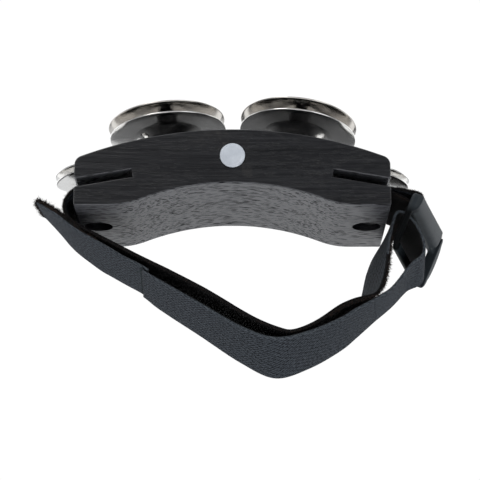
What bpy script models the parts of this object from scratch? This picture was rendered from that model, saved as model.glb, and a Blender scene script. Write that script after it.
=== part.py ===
# Foot jingle block ("foot castanets"): an arched hardwood block that sits on
# the instep, two pairs of large steel jingles on top, a smaller pair in a bay
# at each end, and a hook-and-loop strap that runs under the foot and through
# a ring buckle.
#
# Frame: origin at the crown of the arch (the face that rests on the instep),
# +Z up, +X along the block, -Y is the front with the badge. Blender units are
# metres. Dimensions are in millimetres, with heights measured from the flat
# feet of the block; world() turns them into metres.

import bpy
import bmesh
import math
from mathutils import Vector, Matrix

MM = 0.001
SIDES = {"left": -1, "right": 1}
SHARP_ANGLE = 35.0            # edges sharper than this are shaded flat

# wooden block
BLOCK_HALF = 75.0             # half length
BLOCK_DEPTH = 70.0            # front to back
CROWN = 11.1                  # arch crown above the feet
CROWN_FLAT = 3.0              # half width of the flat strip at the crown
ARCH_R = 120.0                # radius of the arch
FOOT_FILLET_R = 40.0          # sweep from the arch into the flat feet
TOP_R = 200.0                 # radius of the top
APEX = 38.0                   # top of the block above the feet
TOP_CENTRE_Z = APEX - TOP_R
SHOULDER_R = 4.5              # rounding from the top into the end faces
EDGE = 0.6                    # broken edge on the outline, front and back
TILT = math.radians(10.0)     # slope of the strap slots and the end bolts
SLOT_MOUTH_Z = 11.2           # slot centre line at the end face
SLOT_LENGTH_X = 27.2
SLOT_H = 3.9
LOWER_LIP = (0.6, 0.5)        # chamfer at the slot mouth: depth in x, extra z
UPPER_LIP = (1.0, 0.9)

# end bays and the end bolt holes; heights run along the bolt axis
BOLT_X = 65.6                 # end bolt axis at the plane of the feet
BAY_FLOOR = 17.6
BAY_R = 20.0                  # half width and inner radius
BAY_CX = 71.5
BAY_OVERRUN = 5.0             # cutter beyond the end face
BAY_CUT_TOP = 45.0
COUNTERBORE_R = 6.9
COUNTERBORE_TOP = 6.0
BOLT_HOLE_R = 2.85
BOLT_CUT_SPAN = (-4, 20)

# badge
BADGE_R = 6.0
BADGE_Z = 24.7
BADGE_RECESS = 1.2
BADGE_PLAY = 0.35             # recess radius beyond the badge
BADGE_CUT_OUT = 3             # recess cutter in front of the block

# all jingles: a dome is (radius, height) from the flange to the hole
SHEET = 0.8                   # steel thickness
DISC_SHARP_ANGLE = 60.0

# top jingles, along a pin whose foot is on the top of the block
PIN_X = 30.8
PIN_TILT = math.radians(6.5)
PIN_HOLE_R = 2.3              # hole in the wood and in the parts on the pin
PILOT_TIP = -17.5
PILOT_SHOULDER = -15.0
SEAT_R = 5.8                  # shallow seat round the pilot hole
SEAT_FLOOR = -0.5
SEAT_CUT_TOP = 4.0
TOP_DISC_R = 29.0
TOP_DOME = [(17.0, 0.0), (15.2, 0.45), (13.0, 1.7), (10.8, 3.4), (8.4, 4.9), (5.6, 5.6),
            (3.0, 5.6)]
TOP_LOWER = 12.1              # flange heights on the pin
TOP_UPPER = 17.6
# degrees a disc hangs off square: outer edge down, front edge up
TOP_TIP = {"left": (-0.9, 3.0), "right": (0.7, 6.0)}
TOP_SPACER_R = 5.0
TOP_SPACER_FOOT = -0.2
TOP_SLEEVE_R = 4.2
TOP_WASHER_R = 4.6
# heights on the pin from the hole of the lower or the upper disc
TOP_SPACER_END = -0.9         # lower
TOP_SLEEVE_START = 3.0        # lower
TOP_SLEEVE_END = -1.6         # upper
TOP_WASHER_SPAN = (2.2, 2.9)  # upper
TOP_HEAD = 3.2                # upper
# screw as (radius, height): shank from the pin's foot, head from its underside
SCREW_SHANK = [(0, -16.0), (1.9, -13.0)]
SCREW_HEAD = [(1.9, 0.0), (4.2, 0.0), (4.1, 0.7), (3.0, 1.5), (1.4, 1.8), (1.2, 0.6), (0, 0.6)]

# end jingles, along the end bolt
END_DISC_R = 17.25
END_DOME = [(7.9, 0.0), (7.0, 0.4), (5.7, 1.9), (4.4, 2.8), (3.0, 2.8)]
END_LEVELS = {"left": (24.6, 28.2), "right": (23.0, 26.2)}  # flanges, lower and upper
END_HOLE_R = 2.8              # hole in the parts on the bolt
END_SPACER_R = 4.6
END_SPACER_PLAY = 0.3         # above the bay floor
END_SLEEVE_R = 4.0
END_WASHER_R = 6.0
END_WASHER_SPAN = (4.7, 5.7)
# heights on the bolt from the hole of the lower or the upper disc
END_SPACER_END = -0.4         # lower
END_SLEEVE_START = 2.1        # lower
END_SLEEVE_END = -1.2         # upper
NUT_SPAN = (1.6, 4.3)         # upper
BOLT_END = 4.6                # upper
BOLT_CENTRE = 5.0             # upper, at the middle of the domed bolt end
NUT_APOTHEM = 4.0
# bolt head with its hex socket, as (radius, height)
BOLT_HEAD = [(0, 3.7), (1.7, 3.7, 'hex'), (1.7, 2.5, 'hex'), (4.2, 2.5), (4.8, 3.1), (4.8, 4.4),
             (2.5, 4.4)]
BOLT_R = 2.5

# strap
STRAP_HALF = 25.0             # half width
STRAP_T = 1.5
HOOK_TAB_T = 1.3
CURVE_STEPS = 2               # curve points per table point
EYE_R = 3.0                   # bolt eyes in the strap and the short loop
EYE_SPAN = (8.5, 16.5)

# ring buckle: middle of its bar, width direction, fall direction. Positions
# on the ring are u along its width, v down from its top, n outwards.
RING_BAR = Vector((94.9, 0.0, 4.65))
RING_U = Vector((0.267, 0.960, -0.0816)).normalized()
RING_FALL = Vector((-0.4014, 0.0, -0.9158))
RING_HEIGHT = 29.6
RING_HALF = 31.5
RING_BULGE = 2.4
BULGE_AT = (0.35, 0.5, 0.65)  # fractions of the height
RING_T = 3.0
RING_EDGE = 0.6
TOP_CORNER_R = 3.5
BOTTOM_CORNER_R = 6.0
CORNER_ANGLES = (0, 22.5, 45, 67.5, 90)
NEAR_HALF = 30.2              # the near side is slimmer and straight
NEAR_EASE = (24.0, 6.0)       # u where the slimming starts, and its run
OPENING_HALF = 28.0
BAR_V = 1.7
BAR_R = 1.4
BAR_SPAN = (-28.4, 29.1)
PLATE_V = (6.2, 9.8)          # cross plate between the bar and the mouth
RAIL_V = 25.6                 # upper edge of the bottom rail
CHEEK_N = (0.2, 3.6)          # the far side of the ring is thicker outwards
CHEEK_EDGE = 0.9
CHEEK_OUTER_U = 36.0
CHEEK_V = (1.0, 32.0)
CUT_HALF_N = 6.0              # half depth of the cutters through the ring
# sections of the hood that covers the bar, as (v, n)
HOOD_FOOT = [(0.7, -0.2), (PLATE_V[1] - 0.35, -0.2), (PLATE_V[1] - 0.35, 1.6)]
HOOD_NEAR = [(9.0, 2.3), (8.0, 3.5), (6.4, 4.15), (4.4, 4.4), (2.8, 4.4), (1.6, 4.3),
             (1.2, 3.9), (1.1, 3.0), (0.7, 2.9)]
HOOD_FAR = [(9.0, 2.8), (8.4, 3.9), (6.8, 4.5), (4.0, 4.7), (1.6, 4.6), (0.0, 4.4),
            (-0.4, 4.0), (-0.4, 3.0), (0.7, 2.9)]
HOOD_SPAN = (-29.7, 21.5)     # the hood stops short of the far side
POCKET = [(-6.0, -6.0), (-6.0, 3.4), (-0.6, 3.4), (1.2, 3.55), (3.2, 3.5), (4.6, 3.3),
          (5.6, 2.4), (6.2, 1.0), (PLATE_V[0], -6.0)]

# short webbing loop
LOOP_T = 1.4
LOOP_BAR_PLAY = 0.3
LOOP_SLOT_PLAY = 0.4          # above and below, in the slot
LOOP_X = (49.6, 62.0, 76.0)   # stations in the slot, inner end first
LOOP_ARC_STEPS = 12
LOOP_CUT_OVERRUN = 2.0


def world(x, y, z):
    """Design millimetres (height above the feet) to world metres."""
    return Vector((x * MM, y * MM, (z - CROWN) * MM))


# ---------------------------------------------------------------- materials
MATERIALS = {
    "wood": dict(color=(0.018, 0.017, 0.018), roughness=0.45, metallic=0.0),
    "jingle_steel": dict(color=(0.72, 0.71, 0.69), roughness=0.18, metallic=1.0),
    "fastener_steel": dict(color=(0.58, 0.58, 0.59), roughness=0.35, metallic=1.0),
    "black_steel": dict(color=(0.03, 0.03, 0.032), roughness=0.45, metallic=1.0),
    "spacer_nylon": dict(color=(0.03, 0.03, 0.032), roughness=0.5, metallic=0.0),
    "webbing": dict(color=(0.20, 0.22, 0.25), roughness=0.85, metallic=0.0),
    "hook_tape": dict(color=(0.06, 0.055, 0.055), roughness=0.9, metallic=0.0),
    "buckle_plastic": dict(color=(0.16, 0.19, 0.21), roughness=0.35, metallic=0.0),
    "badge_plastic": dict(color=(0.62, 0.64, 0.66), roughness=0.4, metallic=0.0),
}


def new_material(name, color, roughness, metallic):
    material = bpy.data.materials.new(name)
    material.use_nodes = True
    shader = material.node_tree.nodes["Principled BSDF"]
    shader.inputs["Base Color"].default_value = (*color, 1.0)
    shader.inputs["Roughness"].default_value = roughness
    shader.inputs["Metallic"].default_value = metallic
    return material


# ------------------------------------------------------------- mesh helpers
# Every helper that makes an object takes a material name; with None the
# object is a hidden cutter for a boolean.
def add_object(name, verts, faces, material, matrix=None, sharp_angle=SHARP_ANGLE):
    """A closed mesh object from points (world metres, or local with matrix)."""
    mesh = bpy.data.meshes.new(name)
    mesh.from_pydata([tuple(v) for v in verts], [], faces)
    bm = bmesh.new()
    bm.from_mesh(mesh)
    bmesh.ops.recalc_face_normals(bm, faces=bm.faces[:])
    if bm.calc_volume(signed=True) < 0:
        bmesh.ops.reverse_faces(bm, faces=bm.faces[:])
    polygons = [f for f in bm.faces if len(f.verts) > 4]
    if polygons:
        bmesh.ops.triangulate(bm, faces=polygons)
    bm.to_mesh(mesh)
    bm.free()
    mesh.shade_smooth()
    mesh.set_sharp_from_angle(angle=math.radians(sharp_angle))
    obj = bpy.data.objects.new(name, mesh)
    if matrix is not None:
        obj.matrix_world = matrix
    bpy.context.scene.collection.objects.link(obj)
    if material is None:
        obj.hide_render = True
        obj.display_type = 'WIRE'
    else:
        mesh.materials.append(new_material(name + "_" + material, **MATERIALS[material]))
    return obj


def cut(obj, cutter, operation='DIFFERENCE'):
    modifier = obj.modifiers.new("cut_" + cutter.name, 'BOOLEAN')
    modifier.operation = operation
    modifier.solver = 'EXACT'
    modifier.object = cutter


def quad_sides(count, rows):
    """Quads between successive closed rows of count points."""
    return [(r * count + i, r * count + (i + 1) % count,
             (r + 1) * count + (i + 1) % count, (r + 1) * count + i)
            for r in range(rows - 1) for i in range(count)]


def triangle_sides(count):
    """Triangles between two closed rows of count points."""
    faces = []
    for i in range(count):
        j = (i + 1) % count
        faces += [(i, j, count + j), (i, count + j, count + i)]
    return faces


def end_caps(count, rows):
    """Faces that close the first and the last row."""
    last = (rows - 1) * count
    return [tuple(range(count)), tuple(reversed(range(last, last + count)))]


def leaning_frame(x, z, tilt, side):
    """Matrix of a pin that leans outwards by tilt; its local +Z is the pin."""
    z_axis = Vector((side * math.sin(tilt), 0.0, math.cos(tilt)))
    x_axis = Vector((math.cos(tilt), 0.0, -side * math.sin(tilt)))
    y_axis = z_axis.cross(x_axis)
    rotation = Matrix((x_axis, y_axis, z_axis)).transposed().to_4x4()
    return Matrix.Translation(world(side * x, 0.0, z)) @ rotation


def hex_radius(apothem, angle):
    sector = math.radians(60.0)
    return apothem / math.cos((angle % sector) - sector / 2.0)


def turned(name, profile, material, matrix, segments=24, sharp_angle=SHARP_ANGLE):
    """A solid of revolution about local Z. The profile is a list of
    (radius, height) or (apothem, height, 'hex'); an open one starts and ends
    on the axis, a closed one goes round a ring section."""
    verts, faces, rows = [], [], []
    for radius, height, *shape in profile:
        if radius <= 1e-6:
            rows.append([len(verts)])
            verts.append(Vector((0, 0, height * MM)))
            continue
        row = []
        for k in range(segments):
            angle = 2 * math.pi * k / segments
            r = hex_radius(radius, angle) if shape else radius
            row.append(len(verts))
            verts.append(Vector((r * math.cos(angle), r * math.sin(angle), height)) * MM)
        rows.append(row)
    pairs = list(zip(rows, rows[1:]))
    if profile[0][0] > 1e-6:
        pairs.append((rows[-1], rows[0]))
    for a, b in pairs:
        for k in range(segments):
            m = (k + 1) % segments
            if len(a) == 1:
                faces.append((a[0], b[m], b[k]))
            elif len(b) == 1:
                faces.append((a[k], a[m], b[0]))
            else:
                faces.append((a[k], a[m], b[m], b[k]))
    return add_object(name, verts, faces, material, matrix, sharp_angle)


def rod(name, radius, start, end, material, matrix, segments):
    """A plain cylinder along local Z."""
    profile = [(0, start), (radius, start), (radius, end), (0, end)]
    return turned(name, profile, material, matrix, segments)


def tube(name, inner, outer, start, end, material, matrix):
    """A plain sleeve or washer along local Z."""
    profile = [(inner, start), (outer, start), (outer, end), (inner, end)]
    return turned(name, profile, material, matrix, 20)


def end_frame(side):
    """Frame of the end bolt, from the plane of the feet."""
    return leaning_frame(BOLT_X, 0.0, TILT, side)


def pin_frame(side):
    """Frame of the top jingles' pin, from the top of the block."""
    z = TOP_CENTRE_Z + math.sqrt(TOP_R ** 2 - PIN_X * PIN_X)
    return leaning_frame(PIN_X, z, PIN_TILT, side)


# ------------------------------------------------------------ wooden block
def arc(cx, cz, radius, start, end, steps):
    angles = [start + (end - start) * i / steps for i in range(steps + 1)]
    return [(cx + radius * math.cos(a), cz + radius * math.sin(a)) for a in angles]


def half_outline():
    """Right half of the block's outline, from the crown round to the apex."""
    arch_rise = math.sqrt(ARCH_R ** 2 - CROWN_FLAT ** 2)
    arch_z = CROWN - arch_rise
    fillet_x = math.sqrt((ARCH_R + FOOT_FILLET_R) ** 2 - (FOOT_FILLET_R - arch_z) ** 2)
    join = math.atan2(FOOT_FILLET_R - arch_z, fillet_x)
    points = arc(0.0, arch_z, ARCH_R, math.atan2(arch_rise, CROWN_FLAT), join, 12)
    points += arc(fillet_x, FOOT_FILLET_R, FOOT_FILLET_R, join - math.pi, -math.pi / 2, 6)[1:]
    points += [(BLOCK_HALF - EDGE, 0.0), (BLOCK_HALF, EDGE)]

    # strap slot
    half = SLOT_H / 2
    cos, sin, tan = math.cos(TILT), math.sin(TILT), math.tan(TILT)
    inner_x = BLOCK_HALF - SLOT_LENGTH_X
    inner_z = SLOT_MOUTH_Z + SLOT_LENGTH_X * tan
    lower_z = SLOT_MOUTH_Z - half / cos
    upper_z = SLOT_MOUTH_Z + half / cos
    points += [(BLOCK_HALF, lower_z - LOWER_LIP[1]),
               (BLOCK_HALF - LOWER_LIP[0], lower_z + LOWER_LIP[0] * tan),
               (inner_x - half * sin, inner_z - half * cos),
               (inner_x + half * sin, inner_z + half * cos),
               (BLOCK_HALF - UPPER_LIP[0], upper_z + UPPER_LIP[0] * tan),
               (BLOCK_HALF, upper_z + UPPER_LIP[1])]

    shoulder_x = BLOCK_HALF - SHOULDER_R
    shoulder_rise = math.sqrt((TOP_R - SHOULDER_R) ** 2 - shoulder_x ** 2)
    join = math.atan2(shoulder_rise, shoulder_x)
    points += arc(shoulder_x, TOP_CENTRE_Z + shoulder_rise, SHOULDER_R, 0.0, join, 6)
    points += arc(0.0, TOP_CENTRE_Z, TOP_R, join, math.pi / 2, 14)[1:]
    return points


def inset_outline(points, distance):
    """The outline moved inwards, with a limit on the shift at sharp corners."""
    moved = []
    for i in range(len(points)):
        before, here, after = (Vector(points[k]) for k in (i - 1, i, (i + 1) % len(points)))
        edge_in = (here - before).normalized()
        edge_out = (after - here).normalized()
        normal_in = Vector((-edge_in.y, edge_in.x))
        normal_out = Vector((-edge_out.y, edge_out.x))
        mitre = (normal_in + normal_out).normalized()
        moved.append(here + mitre * (distance / max(0.4, mitre.dot(normal_in))))
    return moved


def block_body():
    right = half_outline()
    outline = right + [(-x, z) for x, z in reversed(right[:-1])]
    inner = inset_outline(outline, EDGE)
    front, back = -BLOCK_DEPTH / 2, BLOCK_DEPTH / 2
    rows = [(front, inner), (front + EDGE, outline), (back - EDGE, outline), (back, inner)]
    verts = [world(p[0], y, p[1]) for y, points in rows for p in points]
    count = len(outline)
    faces = quad_sides(count, 4)
    faces += [tuple(reversed(range(count))), tuple(range(3 * count, 4 * count))]
    return add_object("wood_block", verts, faces, "wood")


def bay_cutter(side_name, side):
    """A U-shaped pocket, open at the top and at the end face."""
    angles = [math.radians(90 + 180 * i / 16) for i in range(17)]
    plan = [(BAY_CX + BAY_R * math.cos(a), BAY_R * math.sin(a)) for a in angles]
    plan += [(BLOCK_HALF + BAY_OVERRUN, -BAY_R), (BLOCK_HALF + BAY_OVERRUN, BAY_R)]

    def floor_z(x):
        return (BAY_FLOOR - (x - BOLT_X) * math.sin(TILT)) / math.cos(TILT)

    verts = [world(side * x, y, floor_z(x)) for x, y in plan]
    verts += [world(side * x, y, BAY_CUT_TOP) for x, y in plan]
    faces = quad_sides(len(plan), 2) + end_caps(len(plan), 2)
    return add_object("bay_cut_" + side_name, verts, faces, None)


def bolt_hole_cutter(side_name, side):
    start, end = BOLT_CUT_SPAN
    profile = [(0, start), (COUNTERBORE_R, start), (COUNTERBORE_R, COUNTERBORE_TOP),
               (BOLT_HOLE_R, COUNTERBORE_TOP), (BOLT_HOLE_R, end), (0, end)]
    return turned("bolt_cut_" + side_name, profile, None, end_frame(side), 28)


def pilot_cutter(side_name, side):
    """Pilot hole for the top screw, with the spacer's shallow seat."""
    profile = [(0, PILOT_TIP), (PIN_HOLE_R, PILOT_SHOULDER), (PIN_HOLE_R, SEAT_FLOOR),
               (SEAT_R, SEAT_FLOOR), (SEAT_R, SEAT_CUT_TOP), (0, SEAT_CUT_TOP)]
    return turned("pilot_cut_" + side_name, profile, None, pin_frame(side))


def build_block_and_badge():
    block = block_body()
    for side_name, side in SIDES.items():
        cut(block, bay_cutter(side_name, side))
        cut(block, bolt_hole_cutter(side_name, side))
        cut(block, pilot_cutter(side_name, side))

    # local +Z points out of the front face
    front = (Matrix.Translation(world(0, -BLOCK_DEPTH / 2, BADGE_Z))
             @ Matrix.Rotation(math.radians(90), 4, 'X'))
    cut(block, rod("badge_cut", BADGE_R + BADGE_PLAY, BADGE_CUT_OUT, -BADGE_RECESS,
                   None, front, 32))
    # a plain round disc with a raised rim
    profile = [(0, -0.9), (BADGE_R, -0.9), (BADGE_R, 0.3), (BADGE_R - 0.4, 0.6),
               (BADGE_R - 1.0, 0.6), (BADGE_R - 1.3, 0.35), (0, 0.35)]
    turned("badge", profile, "badge_plastic", front, 32)


# ------------------------------------------------------------------ jingles
def disc_profile(radius, dome, direction):
    """Constant-thickness section of a disc, its flange at height 0 and its
    dome up (direction 1) or down (-1)."""
    middle = [(radius, 0.0)] + [(r, direction * h) for r, h in dome]
    last = len(middle) - 1
    above, below = [], []
    for i, point in enumerate(middle):
        before = Vector(middle[max(0, i - 1)])
        after = Vector(middle[min(last, i + 1)])
        along = (after - before).normalized()
        normal = Vector((along.y, -along.x))
        if i in (0, last):
            normal = Vector((0.0, -1.0 if normal.y < 0 else 1.0))
        above.append(Vector(point) + normal * SHEET / 2)
        below.append(Vector(point) - normal * SHEET / 2)
    return [(p.x, p.y) for p in above + below[::-1]]


def build_top_group(side_name, side):
    frame = pin_frame(side)
    name = "top_" + side_name
    outer_down, front_up = TOP_TIP[side_name]
    tip = (Matrix.Rotation(math.radians(side * outer_down), 4, 'Y')
           @ Matrix.Rotation(math.radians(-front_up), 4, 'X'))

    for label, level, direction in (("lower", TOP_LOWER, -1), ("upper", TOP_UPPER, 1)):
        # the disc hangs loosely: it is tipped about the centre of its own hole
        hole = direction * TOP_DOME[-1][1]
        profile = [(r, h - hole) for r, h in disc_profile(TOP_DISC_R, TOP_DOME, direction)]
        matrix = frame @ Matrix.Translation(Vector((0, 0, (level + hole) * MM))) @ tip
        turned("jingle_" + name + "_" + label, profile, "jingle_steel", matrix, 32,
               DISC_SHARP_ANGLE)

    reach = TOP_DOME[-1][1] + SHEET / 2
    low_hole = TOP_LOWER - reach
    high_hole = TOP_UPPER + reach
    tube(name + "_spacer", PIN_HOLE_R, TOP_SPACER_R, TOP_SPACER_FOOT,
         low_hole + TOP_SPACER_END, "spacer_nylon", frame)
    tube(name + "_sleeve", PIN_HOLE_R, TOP_SLEEVE_R, low_hole + TOP_SLEEVE_START,
         high_hole + TOP_SLEEVE_END, "spacer_nylon", frame)
    tube(name + "_washer", PIN_HOLE_R, TOP_WASHER_R, high_hole + TOP_WASHER_SPAN[0],
         high_hole + TOP_WASHER_SPAN[1], "fastener_steel", frame)
    screw = SCREW_SHANK + [(r, high_hole + TOP_HEAD + h) for r, h in SCREW_HEAD]
    turned(name + "_screw", screw, "fastener_steel", frame, 20)


def build_end_group(side_name, side):
    frame = end_frame(side)
    low, high = END_LEVELS[side_name]
    name = "end_" + side_name

    for label, level, direction in (("lower", low, -1), ("upper", high, 1)):
        matrix = frame @ Matrix.Translation(Vector((0, 0, level * MM)))
        turned("jingle_" + name + "_" + label, disc_profile(END_DISC_R, END_DOME, direction),
               "jingle_steel", matrix, 24, DISC_SHARP_ANGLE)

    reach = END_DOME[-1][1] + SHEET / 2
    low_hole = low - reach
    high_hole = high + reach
    tube(name + "_spacer", END_HOLE_R, END_SPACER_R, BAY_FLOOR + END_SPACER_PLAY,
         low_hole + END_SPACER_END, "spacer_nylon", frame)
    tube(name + "_sleeve", END_HOLE_R, END_SLEEVE_R, low_hole + END_SLEEVE_START,
         high_hole + END_SLEEVE_END, "spacer_nylon", frame)
    nut_start, nut_end = (high_hole + h for h in NUT_SPAN)
    nut = [(END_HOLE_R, nut_start), (NUT_APOTHEM, nut_start, 'hex'),
           (NUT_APOTHEM, nut_end, 'hex'), (END_HOLE_R, nut_end)]
    turned(name + "_nut", nut, "fastener_steel", frame)
    tube(name + "_washer", END_HOLE_R, END_WASHER_R, *END_WASHER_SPAN, "fastener_steel", frame)
    bolt = BOLT_HEAD + [(BOLT_R, high_hole + BOLT_END), (0, high_hole + BOLT_CENTRE)]
    turned(name + "_bolt", bolt, "black_steel", frame)


# ------------------------------------------------------------------- strap
# Edge lines (x, height above the feet). Near is the front edge, far the back.

# from the left slot, out round the end of the block and under it to the right
MAIN_NEAR = [
    (-50, 15.6), (-58, 14.2), (-66, 12.8), (-74.5, 11.3), (-77.6, 9.3), (-79.9, 5.5), (-80.2, 2),
    (-79.2, -1.2), (-76.2, -4.6), (-70.7, -8.1), (-62, -12.6), (-53.5, -17.1), (-41.4, -23.4),
    (-29.7, -29.2), (-12.2, -38.6), (4.8, -49.1), (14, -54), (22.7, -57.4), (27.9, -58.2),
    (34.5, -56.2), (41.5, -52.5), (50.3, -46.4), (57, -43.3), (63, -41.7), (67.6, -40.2),
    (70.2, -36.6), (71.6, -32.6)]
MAIN_FAR = [
    (-50, 15.6), (-58, 14.2), (-66, 12.8), (-74.5, 11.3), (-77.4, 9.3), (-78.6, 6.3), (-78.2, 3.4),
    (-76.6, 0.6), (-73.4, -2.8), (-68.2, -6.9), (-61, -11.8), (-53.0, -17.0), (-41.4, -24.2),
    (-29.7, -30.6), (-12.2, -41.2), (4.8, -53.0), (14, -58.8), (22.7, -63.2), (27.5, -64.2),
    (33.5, -61.8), (40, -57.2), (48, -50.2), (54, -46.0), (58.5, -42.8), (61.2, -39.6),
    (62.9, -35.6), (63.9, -31.6)]
# on from the right end of the main strap, up and over, then down to the ring
LOOP_NEAR = [
    (72.1, -30.8), (72.9, -26.7), (73.5, -22.3), (74.1, -18), (74.8, -13), (75.8, -8.5),
    (76.8, -4), (77.7, -1.3), (79.4, 0.1), (82.0, -0.4), (84.4, -2.4), (87.0, -5.6),
    (89.0, -9.4), (90.4, -13.4), (91.0, -17.2), (90.6, -20.4), (89.0, -22.7), (86.6, -24.4)]
LOOP_FAR = [
    (64.3, -29.8), (65.3, -25.5), (66.2, -21.3), (67.3, -17.2), (70.0, -10.4), (73.6, -4.6),
    (76.6, -1.0), (79, 1.2), (82.5, 1.8), (86, 0.0), (88.3, -3.5), (89.9, -7.0),
    (91.4, -10.6), (92.8, -14.2), (94.1, -17.6), (94.9, -20.9), (93.9, -24.2), (91.2, -25.6)]
# on from the loop, down and to the left
RETURN_NEAR = [(85.5, -25.3), (82.9, -28.2), (80.0, -32.2), (74.5, -38.6), (66.3, -43.6)]
RETURN_FAR = [(89.9, -25.9), (86.9, -26.6), (84.3, -28.4), (78.0, -34.6), (70.0, -41.4)]
# on from the return, to the left below the main strap
TAIL_NEAR = [
    (65.1, -44.3), (58, -48.2), (50.4, -52.8), (36, -58.9), (20, -62.0), (4, -56.7),
    (-15.4, -45.4), (-28.5, -37.8), (-43.0, -29.2)]
TAIL_FAR = [
    (68.7, -42.6), (61, -49.6), (53, -56.3), (37.5, -65.2), (21, -70), (4.5, -62.5),
    (-16, -48.6), (-29.6, -39.6), (-44.6, -29.2)]
# from the left end of the tail, up and out to the left
TAB_NEAR = [
    (-39.8, -29.0), (-42.5, -27.3), (-46.5, -25.1), (-51.5, -22.6), (-57.5, -18.9), (-63, -15.6),
    (-72.5, -10.1), (-78, -6.2), (-82.6, -2.4), (-87.5, 0.9), (-93.6, 4.3)]
TAB_FAR = [
    (-41.4, -29.2), (-44.1, -27.4), (-48.1, -25.1), (-53.5, -22.2), (-60.0, -18.4), (-66, -14.8),
    (-75.7, -7.4), (-81, -2.4), (-86.0, 3.6), (-90.5, 8.6), (-94.6, 13)]


def catmull(points):
    """A smooth Catmull-Rom line through 2-D points."""
    points = [Vector(p) for p in points]
    points = [2 * points[0] - points[1]] + points + [2 * points[-1] - points[-2]]
    line = []
    for i in range(1, len(points) - 2):
        p0, p1, p2, p3 = points[i - 1:i + 3]
        for step in range(CURVE_STEPS):
            t = step / CURVE_STEPS
            line.append(0.5 * ((2 * p1) + (p2 - p0) * t
                               + (2 * p0 - 5 * p1 + 4 * p2 - p3) * t * t
                               + (3 * p1 - p0 - 3 * p2 + p3) * t ** 3))
    line.append(points[-2])
    return line


def ribbon(name, near, far, material, thickness=STRAP_T):
    """A strap: a ruled strip between a near and a far edge line in XZ."""
    edges = []
    for table, y in ((near, -STRAP_HALF), (far, STRAP_HALF)):
        line = catmull(table)
        for offset in (0.5, -0.5):
            row = []
            for i, point in enumerate(line):
                before = line[max(0, i - 1)]
                after = line[min(len(line) - 1, i + 1)]
                along = (after - before).normalized()
                q = point + Vector((-along.y, along.x)) * (thickness * offset)
                row.append(world(q.x, y, q.y))
            edges.append(row)
    # edge rows in order round the section
    n = len(edges[0])
    verts = edges[0] + edges[1] + edges[3] + edges[2]
    faces = []
    for r in range(4):
        s = (r + 1) % 4
        for i in range(n - 1):
            a, b, c, d = r * n + i, r * n + i + 1, s * n + i + 1, s * n + i
            faces += [(a, b, c), (a, c, d)]
    end = n - 1
    faces += [(0, n, 2 * n), (0, 2 * n, 3 * n),
              (end, 2 * n + end, n + end), (end, 3 * n + end, 2 * n + end)]
    return add_object(name, verts, faces, material)


def cut_eye(strap, name, side):
    cut(strap, rod(name, EYE_R, *EYE_SPAN, None, end_frame(side), 20))


def build_strap():
    main = ribbon("strap_main", MAIN_NEAR, MAIN_FAR, "webbing")
    cut_eye(main, "strap_eye_cut", SIDES["left"])
    ribbon("strap_loop", LOOP_NEAR, LOOP_FAR, "webbing")
    ribbon("strap_return", RETURN_NEAR, RETURN_FAR, "webbing")
    ribbon("strap_tail", TAIL_NEAR, TAIL_FAR, "webbing")
    ribbon("hook_tab", TAB_NEAR, TAB_FAR, "hook_tape", HOOK_TAB_T)


# ------------------------------------------------------------- ring buckle
RING_V = (RING_FALL - RING_U * RING_FALL.dot(RING_U)).normalized()
RING_N = RING_V.cross(RING_U).normalized()
RING_CENTRE = RING_BAR + RING_V * (RING_HEIGHT / 2 - BAR_V)


def ring_point(u, v, n):
    """A position on the ring in design millimetres."""
    return RING_CENTRE + RING_U * u + RING_V * (v - RING_HEIGHT / 2) + RING_N * n


# the ring's origin is the middle of its bar; local Z is -n, so the frame is right-handed
BAR_MID = ring_point(0.0, BAR_V, 0.0)
RING_FRAME = (Matrix.Translation(world(*BAR_MID))
              @ Matrix((RING_U, RING_V, -RING_N)).transposed().to_4x4())


def ring_local(u, v, n):
    """A position on the ring in its object's local metres."""
    return RING_FRAME.inverted() @ world(*ring_point(u, v, n))


def ring_plan():
    """Outline (u, v) of the ring: straight top and bottom, bulged far end,
    slimmer near end."""
    corner = [math.radians(a) for a in CORNER_ANGLES]
    far = [(RING_HALF - TOP_CORNER_R + TOP_CORNER_R * math.sin(a),
            TOP_CORNER_R - TOP_CORNER_R * math.cos(a)) for a in corner]
    far += [(RING_HALF + RING_BULGE * (1 - ((f - 0.5) / 0.5) ** 2), RING_HEIGHT * f)
            for f in BULGE_AT]
    far += [(RING_HALF - BOTTOM_CORNER_R + BOTTOM_CORNER_R * math.sin(a),
             RING_HEIGHT - BOTTOM_CORNER_R + BOTTOM_CORNER_R * math.cos(a))
            for a in reversed(corner)]

    def near_u(u):
        ease = min(1.0, max(0.0, (u - NEAR_EASE[0]) / NEAR_EASE[1]))
        return -min(NEAR_HALF, u - (RING_HALF - NEAR_HALF) * ease)

    return far + [(near_u(u), v) for u, v in reversed(far)]


def ring_slab(name, n0, n1, edge, material):
    """The ring's plan made solid from n0 to n1, with a broken edge."""
    plan = ring_plan()
    count = len(plan)
    centre = Vector((0.0, sum(p[1] for p in plan) / count))
    verts = []
    for n, inset in ((n0, edge), (n0 + edge, 0.0), (n1 - edge, 0.0), (n1, edge)):
        for i in range(count):
            before, here, after = (Vector(plan[k]) for k in (i - 1, i, (i + 1) % count))
            inwards = Vector((0.0, 0.0))
            for start, end in ((before, here), (here, after)):
                along = (end - start).normalized()
                normal = Vector((-along.y, along.x))
                if normal.dot(centre - here) < 0:
                    normal = -normal
                inwards += normal
            inwards.normalize()
            verts.append(ring_local(here.x + inwards.x * inset, here.y + inwards.y * inset, n))
    faces = quad_sides(count, 4) + end_caps(count, 4)
    return add_object(name, verts, faces, material, RING_FRAME)


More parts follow.
